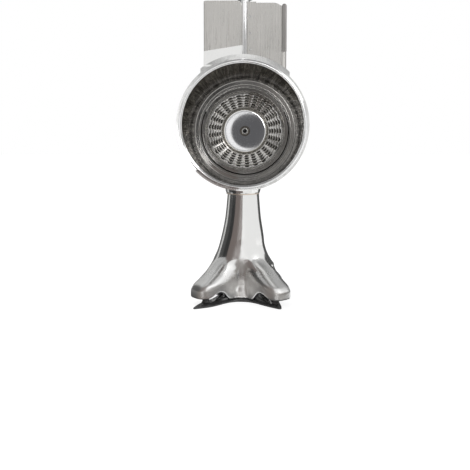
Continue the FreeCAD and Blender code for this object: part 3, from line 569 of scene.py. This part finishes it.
# %% [markdown]
# ## Drum
# The drum is spun from sheet and punched from the inside, row after row. Each punch leaves a
# round hole in a shallow dimple, and it is the dimples that catch the light inside the cone. The
# cone is built from cells: each cell is a patch of rings from a hole's edge out to the cell's
# border, pressed outward near the hole. The plain front and the rounded end continue the same
# rings, and a flat lip closes the front.

# %% One punched cell
columns, rows, side_steps = 25, 5, 6
first_row, pitch, hole_radius = -16.2, 8.1, 2.4
lip_radius, back_radius, lip_front, cone_length = 42.4, 25.8, -37.0, 59.0
slope = (lip_radius - back_radius) / cone_length
dimple_width, dimple_share = 1.2, 0.75
press_rings = ((0.0, 0.35), (0.25, 0.24), (0.5, 0.12), (dimple_share, 0.03), (1.0, 0.0))


def cone_radius(y):
    """Radius of the cone at a depth."""
    return lip_radius - slope * (y - lip_front)


def on_cone(turn, y, lift=0.0):
    """A point on the cone at a turn in radians, pressed outward by lift."""
    radius = cone_radius(y) + lift
    return (radius * math.cos(turn) * mm, (y + lift * slope) * mm, drum_axis + radius * math.sin(turn) * mm)


def cell_border(turn, y):
    """Border points of one cell, anticlockwise, as (turn, y)."""
    half_turn, half_y = math.pi / columns, pitch / 2.0
    steps = np.linspace(-1.0, 1.0, side_steps + 1)[:-1]
    border = [(turn + half_turn * s, y - half_y) for s in steps]
    border += [(turn + half_turn, y + half_y * s) for s in steps]
    border += [(turn - half_turn * s, y + half_y) for s in steps]
    border += [(turn - half_turn, y - half_y * s) for s in steps]
    return border


def punched_cell(turn, y):
    """Rings from a round hole out to the cell's border, each at a share of the way and a lift."""
    radius = cone_radius(y)
    cell = []
    for grow, lift in press_rings:
        for border_turn, border_y in cell_border(turn, y):
            across, along = (border_turn - turn) * radius, border_y - y
            reach = math.hypot(across, along)
            dimple = min(dimple_width * grow / dimple_share, 0.95 * (reach - hole_radius))
            share = (hole_radius + dimple) / reach if grow < 1.0 else 1.0
            cell.append(on_cone(turn + (border_turn - turn) * share, y + along * share, lift))
    return cell


print("points in a cell:", len(punched_cell(0.0, first_row)))

# %% Drum from punched cells
cell_faces = grid_faces(len(press_rings), 4 * side_steps)
points, faces = [], []


def add_part(part_points, part_faces):
    """Add to the drum's points, with the faces counted on from there."""
    start = len(points)
    points.extend(part_points)
    faces.extend(tuple(start + index for index in face) for face in part_faces)


for row in range(rows):
    for column in range(columns):
        add_part(punched_cell(2.0 * math.pi * column / columns, first_row + row * pitch), cell_faces)

cells_front, cells_back = first_row - pitch / 2.0, first_row + (rows - 0.5) * pitch
drum_back, end_round, end_flat = 27.0, 4.0, 21.5
end_rings = (end_flat - 0.2, 12.0, 3.2, 2.9, 2.6)
front_band = [(cone_radius(y), y) for y in np.linspace(-36.6, cells_front, 8)]
end_band = [(cone_radius(y), y) for y in (cells_back, 21.2, 22.0, 22.9)]
end_band += arc(end_flat, drum_back - end_round, end_round, 0.0, 90.0, 8)
end_band += [(radius, drum_back) for radius in end_rings]
around = columns * side_steps
ring_turns = [2.0 * math.pi * (step / around) - math.pi / columns for step in range(around)]
for band in (front_band, end_band):
    band_points = [(radius * math.cos(turn) * mm, y * mm, drum_axis + radius * math.sin(turn) * mm)
                   for radius, y in band for turn in ring_turns]
    add_part(band_points, grid_faces(len(band), around))
drum = add_piece("punched_drum", points, faces, "drive", ["drum"], 50.0)
print("holes punched:", columns * rows)

# %% Drum wall, hole edges in painted shade, bright end and lip
wall = drum.modifiers.new("wall", "SOLIDIFY")
wall.thickness = 0.9 * mm
wall.offset = -1.0
# every rim face of the wall, the hole edges among them, takes the second finish, whose near black is painted
# shade
wall.material_offset_rim = 1
drum.data.materials.append(hole_edge_painted_shade)
drum.data.materials.append(drum_end)
end_faces = [face for face in drum.data.polygons if face.center.y > (drum_back - 0.1) * mm]
for face in end_faces:
    face.material_index = 2

lip_middle, lip_half = -37.5, 0.2
lip_profile = arc(39.3, lip_middle, lip_half, 90.0, 270.0, 6)
lip_profile += [(39.5, lip_middle - lip_half), (42.0, lip_middle - lip_half)]
lip_profile += arc(42.1, lip_middle, lip_half, 270.0, 450.0, 6)
turned_piece("drum_lip", lip_profile, "Y", drum_centre, 192, "drive", ["drum"], finish=lip_steel_painted_shade)
print("bright faces of the drum's end:", len(end_faces))

# %% [markdown]
# ## Column and foot
# The column is cast in one piece with its four toes. Seen from above it is a soft star, small at
# the top and wide on the table. One formula gives the star's radius in any direction, and a table
# of heights says how far the toes reach there, so the surface flows from round to four toed
# without a seam. The toes end in arches, and the edge of the shell is rounded all the way.

# %% Star shaped sections
column_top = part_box("foot_column")[1].z * 1000.0
# height, radius between the toes, reach of the front and of the rear toes, sharpness of a toe
foot_levels = np.array([
    (2.5, 24.2, 60.0, 45.0, 5.0),
    (5.0, 24.0, 63.0, 47.0, 5.0),
    (9.0, 23.2, 64.4, 48.0, 5.0),
    (14.0, 21.4, 64.4, 47.4, 5.0),
    (19.0, 20.4, 61.4, 44.0, 4.6),
    (24.0, 19.9, 54.4, 38.5, 4.1),
    (31.0, 19.4, 45.6, 32.5, 3.6),
    (44.2, 18.5, 35.4, 27.5, 3.1),
    (64.4, 17.7, 28.0, 25.2, 3.0),
    (83.8, 17.2, 23.0, 21.8, 2.5),
    (column_top, 16.9, 18.6, 18.6, 2.0),
])
toe_turns = [(38.0, True), (142.0, True), (227.5, False), (317.5, False)]
turns = np.linspace(0.0, 2.0 * math.pi, 360, endpoint=False)


def along_levels(column, heights):
    """Smooth values of one column of the table, without overshoot."""
    known, values = foot_levels[:, 0], foot_levels[:, column]
    steps = np.diff(known)
    rise = np.diff(values) / steps
    tangent = np.concatenate(([rise[0]], np.zeros(len(known) - 2), [rise[-1]]))
    for i in range(1, len(known) - 1):
        if rise[i - 1] * rise[i] > 0.0:
            before, after = 2.0 * steps[i] + steps[i - 1], steps[i] + 2.0 * steps[i - 1]
            tangent[i] = (before + after) / (before / rise[i - 1] + after / rise[i])
    i = np.clip(np.searchsorted(known, heights) - 1, 0, len(steps) - 1)
    t = (heights - known[i]) / steps[i]
    return ((1 + 2 * t) * (1 - t) ** 2 * values[i] + t * (1 - t) ** 2 * steps[i] * tangent[i]
            + t * t * (3 - 2 * t) * values[i + 1] + t * t * (t - 1) * steps[i] * tangent[i + 1])


def star(heights):
    """Radius of the foot at each height and turn."""
    side, front, rear, sharp = (along_levels(column, heights)[:, None] for column in (1, 2, 3, 4))
    radius = np.repeat(side, len(turns), axis=1)
    for toe, is_rear in toe_turns:
        away = (turns - math.radians(toe) + math.pi) % (2.0 * math.pi) - math.pi
        lobe = np.where(np.abs(away) < math.pi / 4.0, np.cos(2.0 * away), 0.0)[None, :] ** sharp
        radius = radius + ((rear if is_rear else front) - side) * np.sin(0.5 * math.pi * lobe)
    return radius


print("reach of the toes at 9 mm:", star(np.array([9.0])).max().round(1))

# %% [markdown]
# ## From star to round
# Above the toes the column has to be as wide as the star was drawn, but round, because a round
# column shows long calm bands of light. So each section is a blend: the star below, a rounded
# form of the same width above, and a soft change between them.

# %% Sections that turn round above the toes
foot_yaw, column_x = math.radians(-6.0), -2.0
round_from, round_by = 19.0, 48.0


def turned_by(x, y, yaw):
    """Points turned about the column's axis."""
    return x * math.cos(yaw) - y * math.sin(yaw), x * math.sin(yaw) + y * math.cos(yaw)


def reach_across(x, y):
    """Middle and half width of sections, as seen from the mouth."""
    across = turned_by(x, y, foot_yaw)[0]
    return (across.max(axis=1) + across.min(axis=1)) / 2.0, (across.max(axis=1) - across.min(axis=1)) / 2.0


def section(heights):
    """Points of the foot's outside: a star at the toes that turns full and round above them."""
    radius = star(heights)
    star_x, star_y = radius * np.cos(turns), radius * np.sin(turns)
    middle, half = reach_across(star_x, star_y)
    trim = np.interp(heights, (20.0, 50.0, 84.0, column_top), (0.0, 1.3, 1.5, 1.1))
    half = half - trim
    # the round section, as wide as the trimmed star, flatter near the toes and round at the top
    facing = turns + foot_yaw
    depth = half * np.interp(heights, (24.0, 36.0, 44.0, 64.0, 84.0), (0.62, 0.71, 0.78, 0.92, 1.0))
    power = np.interp(heights, (31.0, 64.0, column_top), (2.6, 2.2, 2.0))[:, None]
    reach = ((np.abs(np.cos(facing)) / half[:, None]) ** power
             + (np.abs(np.sin(facing)) / depth[:, None]) ** power) ** (-1.0 / power)
    round_x, round_y = middle[:, None] + reach * np.cos(facing), reach * np.sin(facing)
    round_x, round_y = turned_by(round_x, round_y, -foot_yaw)
    share = np.clip((heights - round_from) / (round_by - round_from), 0.0, 1.0)
    share = (share * share * (3.0 - 2.0 * share))[:, None]
    x = star_x + (round_x - star_x) * share
    y = star_y + (round_y - star_y) * share
    # a blend of two outlines is narrower than both, so it is spread to the width again
    across, along = turned_by(x, y, foot_yaw)
    blend_middle, blend_half = reach_across(x, y)
    across = middle[:, None] + (across - blend_middle[:, None]) * (half / blend_half)[:, None]
    return turned_by(across, along, -foot_yaw)


print("column half width at the top:", section(np.array([column_top]))[0].max().round(2))

# %% Lower edge with four arches
sole, scan_top = 2.5, 24.0
arch_radius, arch_half_width, toe_clearance = 10.5, 24.0, 7.4
arch_middle = {True: 34.0, False: 42.0}
scan = np.linspace(sole, scan_top, 216)
scan_radius = star(scan)
low = np.full(len(turns), sole)
for toe, is_rear in toe_turns:
    away = turns - math.radians(toe)
    along, across = scan_radius * np.cos(away), scan_radius * np.sin(away)
    from_arch = along - arch_middle[is_rear]
    arch = (along > 0.0) & (np.abs(across) < arch_half_width)
    under = arch & (from_arch ** 2 + (scan[:, None] - sole) ** 2 < arch_radius ** 2)
    under |= arch & (from_arch > 0.0) & (scan[:, None] < toe_clearance)
    low = np.maximum(low, np.where(under, scan[:, None], 0.0).max(axis=0))
# a short running mean rounds the corners of the arches
kernel = np.hanning(9)
kernel /= kernel.sum()
low = np.convolve(np.concatenate((low[-8:], low, low[:8])), kernel, "same")[8:-8]
print("arch height", round(float(low.max()), 1), "mm")

# %% Column skin, rounded edge and hollow
outer_rows, edge_radius, foot_wall = 96, 1.3, 3.2
hollow_roof, core_radius, core_bottom = 17.0, 14.8, 9.2
edge = low + edge_radius


def skin_ring(height, inset):
    """One ring of the foot, height given for each turn, moved inward square to the surface."""
    x, y = (np.diagonal(side) for side in section(height))
    slope_x, slope_y = np.roll(x, -1) - np.roll(x, 1), np.roll(y, -1) - np.roll(y, 1)
    length = np.hypot(slope_x, slope_y)
    return np.stack((x - inset * slope_y / length, y + inset * slope_x / length, height), axis=1)


def edge_ring(inset, level):
    """The outline at the lower edge, moved inward and set at a level."""
    ring = skin_ring(edge, inset)
    ring[:, 2] = level
    return ring


def bend_ring(middle, turn, angle):
    """A ring on the rounded edge, whose arc has its middle at an inset."""
    return edge_ring(middle + turn * math.cos(angle), edge - edge_radius * math.sin(angle))


def place_foot(ring):
    """Turn the foot by its yaw and set it under the barrel, in metres."""
    x, y = turned_by(ring[:, 0], ring[:, 1], foot_yaw)
    return np.stack((x + column_x, y, ring[:, 2]), axis=1) * mm


spacing = np.linspace(0.0, 1.0, outer_rows) ** 1.6
rings = [skin_ring(edge + (column_top - edge) * share, 0.0) for share in spacing[::-1]]
rings += [bend_ring(edge_radius, -edge_radius, angle) for angle in np.radians(np.linspace(15.0, 90.0, 6))]
rings += [bend_ring(foot_wall - edge_radius, edge_radius, angle)
          for angle in np.radians(np.linspace(75.0, 0.0, 6))]
inner = edge_ring(foot_wall, hollow_roof)
core = inner.copy()
core[:, :2] *= (core_radius / np.hypot(inner[:, 0], inner[:, 1]))[:, None]
low_core = core.copy()
low_core[:, 2] = core_bottom
rings += [inner, core, low_core]
points = np.concatenate([place_foot(ring) for ring in rings])
faces = grid_faces(len(rings), len(turns))
faces.append(tuple(range(len(turns))))
faces.append(tuple(reversed(range(len(points) - len(turns), len(points)))))
column = add_piece("column_and_toes", points, faces, "stand", ["foot_column"], 40.0, column_cast)

# %% [markdown]
# ## Room for the suction lever
# Inside the column the stem that lifts the pad has a bore, and the lever swings in a slot at the
# back. On the real casting they are machined, and here too they are cut from the finished form:
# a boolean keeps the skin's smooth rows as they are and leaves crisp edges where a cutter passes.

# %% Bore and slot of the suction lever


def block_mesh(low_corner, high_corner):
    """A box between two corners in millimetres, turned with the foot."""
    (left, front, bottom), (right, back, top) = low_corner, high_corner
    plan = ((left, front), (right, front), (right, back), (left, back))
    corners = np.array([(x, y, z) for z in (bottom, top) for x, y in plan])
    faces = [(3, 2, 1, 0), (4, 5, 6, 7), (0, 1, 5, 4), (1, 2, 6, 5), (2, 3, 7, 6), (3, 0, 4, 7)]
    return place_foot(corners), faces


def rod_mesh(radius, bottom, top, steps=64):
    """An upright rod on the column's axis, in millimetres."""
    angles = [2.0 * math.pi * step / steps for step in range(steps)]
    ring = [(radius * math.cos(angle), radius * math.sin(angle)) for angle in angles]
    corners = np.array([(x, y, z) for z in (bottom, top) for x, y in ring])
    faces = [tuple(reversed(range(steps))), tuple(range(steps, 2 * steps))]
    return place_foot(corners), faces + grid_faces(2, steps)


def cut_away(piece, cutters):
    """Boolean difference, with its result kept as the mesh."""
    for cut_points, cut_faces in cutters:
        mesh = bpy.data.meshes.new("cutter")
        mesh.from_pydata([tuple(p) for p in cut_points], [], cut_faces)
        cutter = bpy.data.objects.new("cutter", mesh)
        bpy.context.scene.collection.objects.link(cutter)
        cut = piece.modifiers.new("cut", "BOOLEAN")
        cut.operation = "DIFFERENCE"
        cut.solver = "EXACT"
        cut.object = cutter
        graph = bpy.context.evaluated_depsgraph_get()
        result = bpy.data.meshes.new_from_object(piece.evaluated_get(graph))
        piece.modifiers.clear()
        piece.data = result
        bpy.data.objects.remove(cutter)
    piece.data.shade_smooth()
    piece.data.set_sharp_from_angle(angle=math.radians(40.0))
    print(piece.name, "after cutting:", len(piece.data.polygons), "faces")


column_bore = rod_mesh(13.0, 12.0, 43.0)
stem_hole = rod_mesh(4.2, 5.0, 20.0)
lever_slot = block_mesh((-7.8, 5.0, 12.0), (7.8, 40.0, 42.0))
cut_away(column, [column_bore, stem_hole, lever_slot])

# %% [markdown]
# ## Pad
# The rubber pad is a thin star with four pointed arms that reach a little past the toes. It is
# thickest under the column and thins toward its edge, so all the eye gets of it is a fine black
# line and the posts that carry the toes. The outline is a ring of corners that is then rounded.

# %% Thin pad with pointed arms
pad_corners = [
    (-51.5, -57.0), (-43.0, -53.5), (-33.6, -48.5), (-27.0, -42.5), (-21.0, -36.0), (-15.0, -31.0),
    (-8.5, -28.3), (-1.0, -28.3), (6.0, -30.5), (12.0, -35.0), (17.6, -41.0), (26.0, -49.0),
    (36.0, -57.0), (36.5, -46.0), (35.0, -32.0), (27.0, -16.0), (25.0, -2.0), (27.0, 10.0),
    (34.0, 22.0), (38.0, 33.0), (26.0, 26.0), (12.0, 25.0), (-2.0, 25.0), (-16.0, 26.0),
    (-30.0, 31.0), (-41.0, 37.0), (-37.0, 24.0), (-30.0, 12.0), (-28.0, -2.0), (-32.0, -16.0),
    (-43.0, -32.0), (-48.0, -44.0),
]
pad_top, pad_edge, level_reach = 2.5, 1.1, 23.5


def round_off(ring, rounds=3, cut=0.2):
    """Cut the corners of a closed outline until it runs in a curve."""
    for _ in range(rounds):
        sides = list(zip(ring, ring[1:] + ring[:1]))
        ring = [(a[0] + (b[0] - a[0]) * share, a[1] + (b[1] - a[1]) * share)
                for a, b in sides for share in (cut, 1.0 - cut)]
    return ring


outline = np.array(round_off(pad_corners))
pad_reach = np.hypot(outline[:, 0] - column_x, outline[:, 1])[:, None]
from_middle = (outline - (column_x, 0.0)) / pad_reach


def pad_ring(inset, height, least=0.0):
    """The outline moved toward the middle, at a height, and at least so far out."""
    flat = (column_x, 0.0) + from_middle * np.maximum(pad_reach - inset, least)
    return np.column_stack((flat, np.full(len(flat), height)))


pad_rings = [pad_ring(pad_reach, pad_top, level_reach), pad_ring(1.6, pad_edge + 0.25, level_reach + 0.3),
             pad_ring(0.35, pad_edge), pad_ring(0.0, pad_edge - 0.3), pad_ring(0.0, 0.2), pad_ring(0.3, 0.0)]
points = [tuple(p * mm) for ring in pad_rings for p in ring]
faces = grid_faces(len(pad_rings), len(outline))
faces.append(tuple(range(len(outline))))
faces.append(tuple(range(len(points) - len(outline), len(points))))
add_piece("thin_pad", points, faces, "stand", ["foot_pad"], 40.0, pad_rubber)

# %% Posts under the toes
post_reach = {True: 37.0, False: 50.0}
post_profile = [(0.0, 0.8), (4.6, 0.8), (3.6, 2.6), (3.3, 5.0), (3.3, 15.6), (2.9, 16.0), (0.0, 16.0)]
for toe, is_rear in toe_turns:
    turn, out = math.radians(toe) + foot_yaw, post_reach[is_rear]
    post_at = ((column_x + out * math.cos(turn)) * mm, out * math.sin(turn) * mm)
    turned_piece("pad_post_" + str(round(toe)), post_profile, "Z", post_at, 48, "stand", ["foot_pad"],
                 closed=False, finish=pad_rubber)

# %% [markdown]
# ## Hopper sheets
# Each half of the hopper is one sheet, folded round two corners. A fold in real sheet is never
# sharp: its outside radius is two or three times the sheet's thickness, and that round catches a
# long soft line of light. So the plan is a path with round corners, the sheet is the path drawn
# upward, and its lower edge follows the barrel.

# %% Plan of a folded sheet
hopper_front, hopper_back, hopper_half = -43.0, 27.0, 40.0
hopper_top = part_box("hopper_left")[1].z / mm
seam_x, strip_half, seam_gap = -0.4, 2.4, 0.1
sheet, fold = 1.2, 3.6


def fold_path(corners, radius, steps=8):
    """Plan points of a sheet path with round folds."""
    path = [corners[0]]
    for before, here, after in zip(corners, corners[1:], corners[2:]):
        back = (Vector(before) - Vector(here)).normalized()
        on = (Vector(after) - Vector(here)).normalized()
        middle = Vector(here) + (back + on) * radius
        for step in range(steps + 1):
            turn = math.pi / 2.0 * step / steps
            path.append(tuple(middle - on * radius * math.cos(turn) - back * radius * math.sin(turn)))
    return path + [corners[-1]]


def dense(path, longest=2.5):
    """Split the long straights of a path."""
    points = [path[0]]
    for start, end in zip(path, path[1:]):
        length = math.dist(start, end)
        count = max(1, round(length / longest))
        points += [tuple(Vector(start).lerp(Vector(end), i / count)) for i in range(1, count + 1)]
    return points


def plan_corners(seam_front, side, seam_back):
    """Corners of one half in plan, from the seam in front round to the seam at the back."""
    front, back = hopper_front + sheet / 2.0, hopper_back - sheet / 2.0
    return [(seam_front, front), (side, front), (side, back), (seam_back, back)]


side_x = hopper_half - sheet / 2.0
left_corners = plan_corners(seam_x - strip_half, -side_x, seam_x)
right_corners = plan_corners(seam_x + strip_half + seam_gap, side_x, seam_x + seam_gap)
print("points in the left plan:", len(dense(fold_path(left_corners, fold - sheet / 2.0))))

# %% Folded hopper halves
barrel_radius, barrel_clearance, sheet_rows = 62.6, 0.1, 40


def barrel_edge(x):
    """Height where the sheet meets the barrel."""
    reach = barrel_radius + barrel_clearance
    return mouth[1] / mm + math.sqrt(max(0.0, reach ** 2 - (x - mouth[0] / mm) ** 2))


def hopper_half_piece(name, corners, top_at, stands_for):
    """A folded sheet from its plan corners, with a top edge given along the path."""
    path = dense(fold_path(corners, fold - sheet / 2.0))
    lengths = np.concatenate(([0.0], np.cumsum([math.dist(a, b) for a, b in zip(path, path[1:])])))
    points = []
    for (x, y), length in zip(path, lengths):
        bottom, top = barrel_edge(x), top_at(length)
        for share in np.linspace(0.0, 1.0, sheet_rows):
            points.append((x * mm, y * mm, (bottom + (top - bottom) * share) * mm))
    faces = grid_faces(len(path), sheet_rows, close_columns=False)
    made = add_piece(name, points, faces, "stand", stands_for, 60.0)
    thick = made.modifiers.new("sheet", "SOLIDIFY")
    thick.thickness = sheet * mm
    thick.offset = 0.0
    soft = made.modifiers.new("edge", "BEVEL")
    soft.width = 0.25 * mm
    soft.segments = 2
    soft.angle_limit = math.radians(50.0)


def corner_drop(distance, radius):
    """How far a rounded top corner falls below the top at a distance from the edge."""
    if distance >= radius:
        return 0.0
    return radius - math.sqrt(radius ** 2 - (radius - distance) ** 2)


left_corner = 4.0
right_corner, corner_share = 8.5, 0.62
front_drop, side_drop, bar_room = 2.2, 5.4, 4.6
right_panel = hopper_half - bar_room - right_corners[0][0]


def left_top(length):
    """Top of the left half, with a small round corner at the seam."""
    return hopper_top - corner_drop(length, left_corner)


def right_top(length):
    """Top of the right half: a round corner in front of the bar, and level behind it."""
    if length > right_panel:
        return hopper_top - side_drop
    return hopper_top - front_drop - corner_drop(right_panel - length, right_corner) * corner_share


hopper_half_piece("hopper_left_sheet", left_corners, left_top, ["hopper_left"])
hopper_half_piece("hopper_right_sheet", right_corners, right_top, ["hopper_right"])

# %% [markdown]
# ## Knob and grip
# The crank's knob is turned with a waist for the fingers and a full belly for the palm, and the
# pusher's grip is a low mushroom. Their profiles run through arcs and easy curves, because a hand
# would find any edge. A few corners are enough for such a profile when they are cut off again
# and again until the line runs in one curve.

# %% Knob and mushroom grip


def eased(profile, rounds=3):
    """Cut the corners of a profile again and again until it runs in one curve."""
    for _ in range(rounds):
        softer = [profile[0]]
        for a, b in zip(profile, profile[1:]):
            softer.append((0.75 * a[0] + 0.25 * b[0], 0.75 * a[1] + 0.25 * b[1]))
            softer.append((0.25 * a[0] + 0.75 * b[0], 0.25 * a[1] + 0.75 * b[1]))
        profile = softer + [profile[-1]]
    return profile


def moved(profile, along):
    """A profile moved along its axis."""
    return [(radius, place + along) for radius, place in profile]


knob_low, knob_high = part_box("crank_knob")
knob_centre = (0.0, (knob_low.z + knob_high.z) / 2.0)
pin_bore, nut_bore, knob_length, nut_depth = 3.1, 5.4, 44.0, 2.4
knob_profile = eased([(pin_bore, 0.0), (8.6, 0.0), (9.6, 1.2), (9.2, 5.0), (7.5, 12.0), (10.0, 22.0),
                      (13.2, 30.0), (13.0, 37.0), (11.2, 42.4), (7.6, knob_length), (5.6, knob_length)])
knob_profile += [(nut_bore, knob_length), (nut_bore, knob_length - nut_depth),
                 (pin_bore, knob_length - nut_depth), (pin_bore, 1.0)]
turned_piece("crank_handle_knob", moved(knob_profile, knob_low.y / mm), "Y", knob_centre, 128,
             "knob", ["crank_knob"])

grip_low, grip_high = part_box("pusher_grip")
grip_height = (grip_high.z - grip_low.z) / mm
grip_foot, rod_y = 6.6, -8.0
grip_profile = [(0.0, 0.0), (grip_foot, 0.0)]
grip_profile += eased([(grip_foot, 0.0), (8.2, 0.0), (12.0, 6.4), (18.0, 9.0), (19.2, 11.0), (18.6, 14.6),
                       (12.0, grip_height - 0.4), (0.0, grip_height)])[1:]
turned_piece("pusher_mushroom", moved(grip_profile, grip_low.z / mm), "Z", (0.0, rod_y * mm), 128,
             "pusher", ["pusher_grip"], closed=False)

# %% [markdown]
# ## Floor and world
# Polished metal shows its surroundings, so the room is built for the reflections. The world is
# plain white to the eye and in the metal, but it lights the object at a lower level, so that a
# colour looks as it was mixed. The floor does the same and keeps the tool's shadow.

# %% World
white, world_level = (1.0, 1.0, 1.0, 1.0), 0.62
world = bpy.data.worlds.new("studio")
bpy.context.scene.world = world
world.use_nodes = True
world.node_tree.nodes.clear()
studio = NodeGraph(world.node_tree)
ray = studio.add("ShaderNodeLightPath").outputs
seen = studio.reckon("MAXIMUM", ray["Is Camera Ray"], ray["Is Glossy Ray"])
seen = studio.reckon("MAXIMUM", seen, ray["Is Transmission Ray"])
strength = studio.add("ShaderNodeMapRange", Value=seen, To_Min=world_level, To_Max=1.0).outputs["Result"]
sky = studio.add("ShaderNodeBackground", Color=white, Strength=strength).outputs[0]
studio.add("ShaderNodeOutputWorld", Surface=sky)
print("world lights at", world_level)

# %% Floor
floor_half, floor_glow, glow_share = 4.0, 1.22, 0.68
floor_mesh = bpy.data.meshes.new("floor")
floor_mesh.from_pydata([(-floor_half, -floor_half, 0.0), (floor_half, -floor_half, 0.0),
                        (floor_half, floor_half, 0.0), (-floor_half, floor_half, 0.0)], [], [(0, 1, 2, 3)])
floor = bpy.data.objects.new("floor", floor_mesh)
bpy.context.scene.collection.objects.link(floor)
floor_finish = new_finish("floor_finish", (0.90, 0.90, 0.90), 0.0, 0.75)
ray = floor_finish.add("ShaderNodeLightPath").outputs
seen = floor_finish.reckon("MAXIMUM", ray["Is Camera Ray"], ray["Is Glossy Ray"])
share = floor_finish.reckon("MULTIPLY", seen, glow_share)
glow = floor_finish.add("ShaderNodeEmission", Color=white, Strength=floor_glow).outputs[0]
blend = floor_finish.add("ShaderNodeMixShader", _0=share, _1=floor_finish.shader.outputs[0], _2=glow)
floor_finish.feed(floor_finish.tree.nodes["Material Output"].inputs["Surface"], blend.outputs[0])
floor_mesh.materials.append(floor_finish.material)
print("floor is", 2.0 * floor_half, "m wide")

# %% [markdown]
# ## Reflection cards
# In a white room polished metal would have no shape. Photographers stand dark cards just outside
# the view, and so does this lesson: cards that only reflections can see. Low ones close to the
# column give it its dark stripe and its drawn edges, small ones in front of the mouth shade the
# rings and the drum's end, and wide ones further off give the sheet and the toes a slow shading.

# %% Helpers for cards


def add_card(name, points, steps, shade):
    """A painted card between two rows of points, which only reflections see."""
    mesh = bpy.data.meshes.new(name)
    mesh.from_pydata(points, [], grid_faces(2, steps + 1, close_columns=False))
    paint = bpy.data.materials.new(name)
    paint.use_nodes = True
    paint.node_tree.nodes.clear()
    graph = NodeGraph(paint.node_tree)
    colour = graph.add("ShaderNodeEmission", Color=(*shade, 1.0)).outputs[0]
    graph.add("ShaderNodeOutputMaterial", Surface=colour)
    mesh.materials.append(paint)
    made = bpy.data.objects.new(name, mesh)
    bpy.context.scene.collection.objects.link(made)
    made.visible_camera = False
    made.visible_diffuse = False
    made.visible_shadow = False
    made.visible_transmission = False


def card(name, start, end, near, far, shade, steps=12):
    """A curved card from a near edge to a far edge, each a (distance, height).
    Angle 0 is in front, 90 on the right."""
    angles = [math.radians(start + (end - start) * step / steps) for step in range(steps + 1)]
    points = [(out * math.sin(a), -out * math.cos(a), height) for out, height in (near, far) for a in angles]
    add_card(name, points, steps, shade)


def round_card(name, centre, inner, outer, shade, start=0.0, end=360.0, steps=64):
    """A flat ring of card that faces the mouth, or a part of one."""
    angles = [math.radians(start + (end - start) * step / steps) for step in range(steps + 1)]
    points = [(centre[0] + radius * math.cos(a), centre[1], centre[2] + radius * math.sin(a))
              for radius in (inner, outer) for a in angles]
    add_card(name, points, steps, shade)


def grey(level):
    """A shade without a hue."""
    return (level, level, level)


brown, ink, smoke, slate, pale = (0.20, 0.17, 0.16), grey(0.045), grey(0.09), grey(0.15), (0.66, 0.66, 0.65)
print("shades from", min(ink), "to", max(pale))

# %% Cards close to the column
near, low, high = 0.11, 0.0007, 0.116
card("card_low_front", -50.0, -4.0, (near, low), (near, high + 0.02), brown)
for name, start, end, shade in (("left", -74.0, -50.0, ink), ("left_side", -104.0, -74.0, smoke),
                                ("left_light", -122.0, -104.0, pale), ("left_back", -170.0, -122.0, slate),
                                ("right_back", 112.0, 170.0, smoke), ("right", -4.0, 60.0, grey(1.0))):
    card("card_low_" + name, start, end, (near, low), (near, high), shade)
# a low grey fence for the toes and the valley between them
fence, fence_top = 0.095, 0.030
for name, start, end, shade in (("front", -60.0, 60.0, (0.25, 0.23, 0.215)),
                                ("left", -104.0, -60.0, grey(0.20)), ("right", 60.0, 104.0, grey(0.22))):
    card("card_fence_" + name, start, end, (fence, low), (fence, fence_top), shade)
# on the floor before the toes
card("card_floor_front", -50.0, -4.0, (0.045, low), (near, low), brown)
card("card_floor_left", -104.0, -50.0, (0.06, low), (near, low), ink)
card("card_floor_right", -4.0, 60.0, (0.045, low), (0.085, low), smoke)
print("cards stand", near, "m from the column")

# %% Cards before the mouth, round the tool and above it
mouth_card_y = -0.90
for name, start, end, shade in (("right", -75.0, 75.0, (0.30, 0.29, 0.28)), ("top", 75.0, 105.0, slate),
                                ("left", 105.0, 240.0, grey(0.05)), ("foot", 240.0, 285.0, slate)):
    round_card("card_ring_" + name, (0.0, mouth_card_y, drum_axis), 0.056, 0.128, shade, start, end)
round_card("card_disc", (0.012, mouth_card_y, drum_axis), 0.0, 0.049, (0.115, 0.115, 0.12))
card("card_high_left_back", -170.0, -110.0, (0.60, 0.16), (0.60, 0.50), grey(0.10))
card("card_high_right_back", 110.0, 170.0, (0.60, 0.16), (0.60, 0.50), grey(0.10))
# wide grey cards above the mouth's ring give the hopper's sheet its slow shading
card("card_hopper_left", -60.0, -3.0, (0.90, 0.30), (0.90, 0.42), grey(0.40))
card("card_hopper_right", 3.0, 60.0, (0.90, 0.30), (0.90, 0.42), grey(0.40))
# a grey ceiling for the tops of the toes
ceiling = 0.95
card("card_ceiling", -180.0, 180.0, (0.02, ceiling), (0.55, ceiling), grey(0.26))
card("card_ceiling_edge", -180.0, 180.0, (0.55, ceiling), (1.05, ceiling), grey(0.48))
print("cards before the mouth at", mouth_card_y)

# %% [markdown]
# ## Lamps
# Cards and world would do for the metal, but the plastic, the rubber and the shadow need lamps.
# A key from the right and a softer one from above are large and low in power, and a small one
# low in front reaches into the drum, where the others can't.

# %% Soft lamps


def softbox(name, place, aim, size, power):
    """A square soft lamp."""
    lamp = bpy.data.lights.new(name, "AREA")
    lamp.size = size
    lamp.energy = power
    made = bpy.data.objects.new(name, lamp)
    made.location = place
    made.rotation_euler = (Vector(aim) - Vector(place)).to_track_quat("-Z", "Y").to_euler()
    bpy.context.scene.collection.objects.link(made)


middle = (0.0, 0.0, 0.16)
softbox("key_lamp", (0.75, -0.85, 0.75), middle, 0.6, 4.0)
softbox("top_lamp", (-0.2, 0.1, 1.15), middle, 0.7, 6.5)
softbox("fill_lamp", (-0.16, -0.95, 0.04), (0.0, 0.0, drum_axis), 0.2, 1.2)
print("lamps:", len(bpy.data.lights))
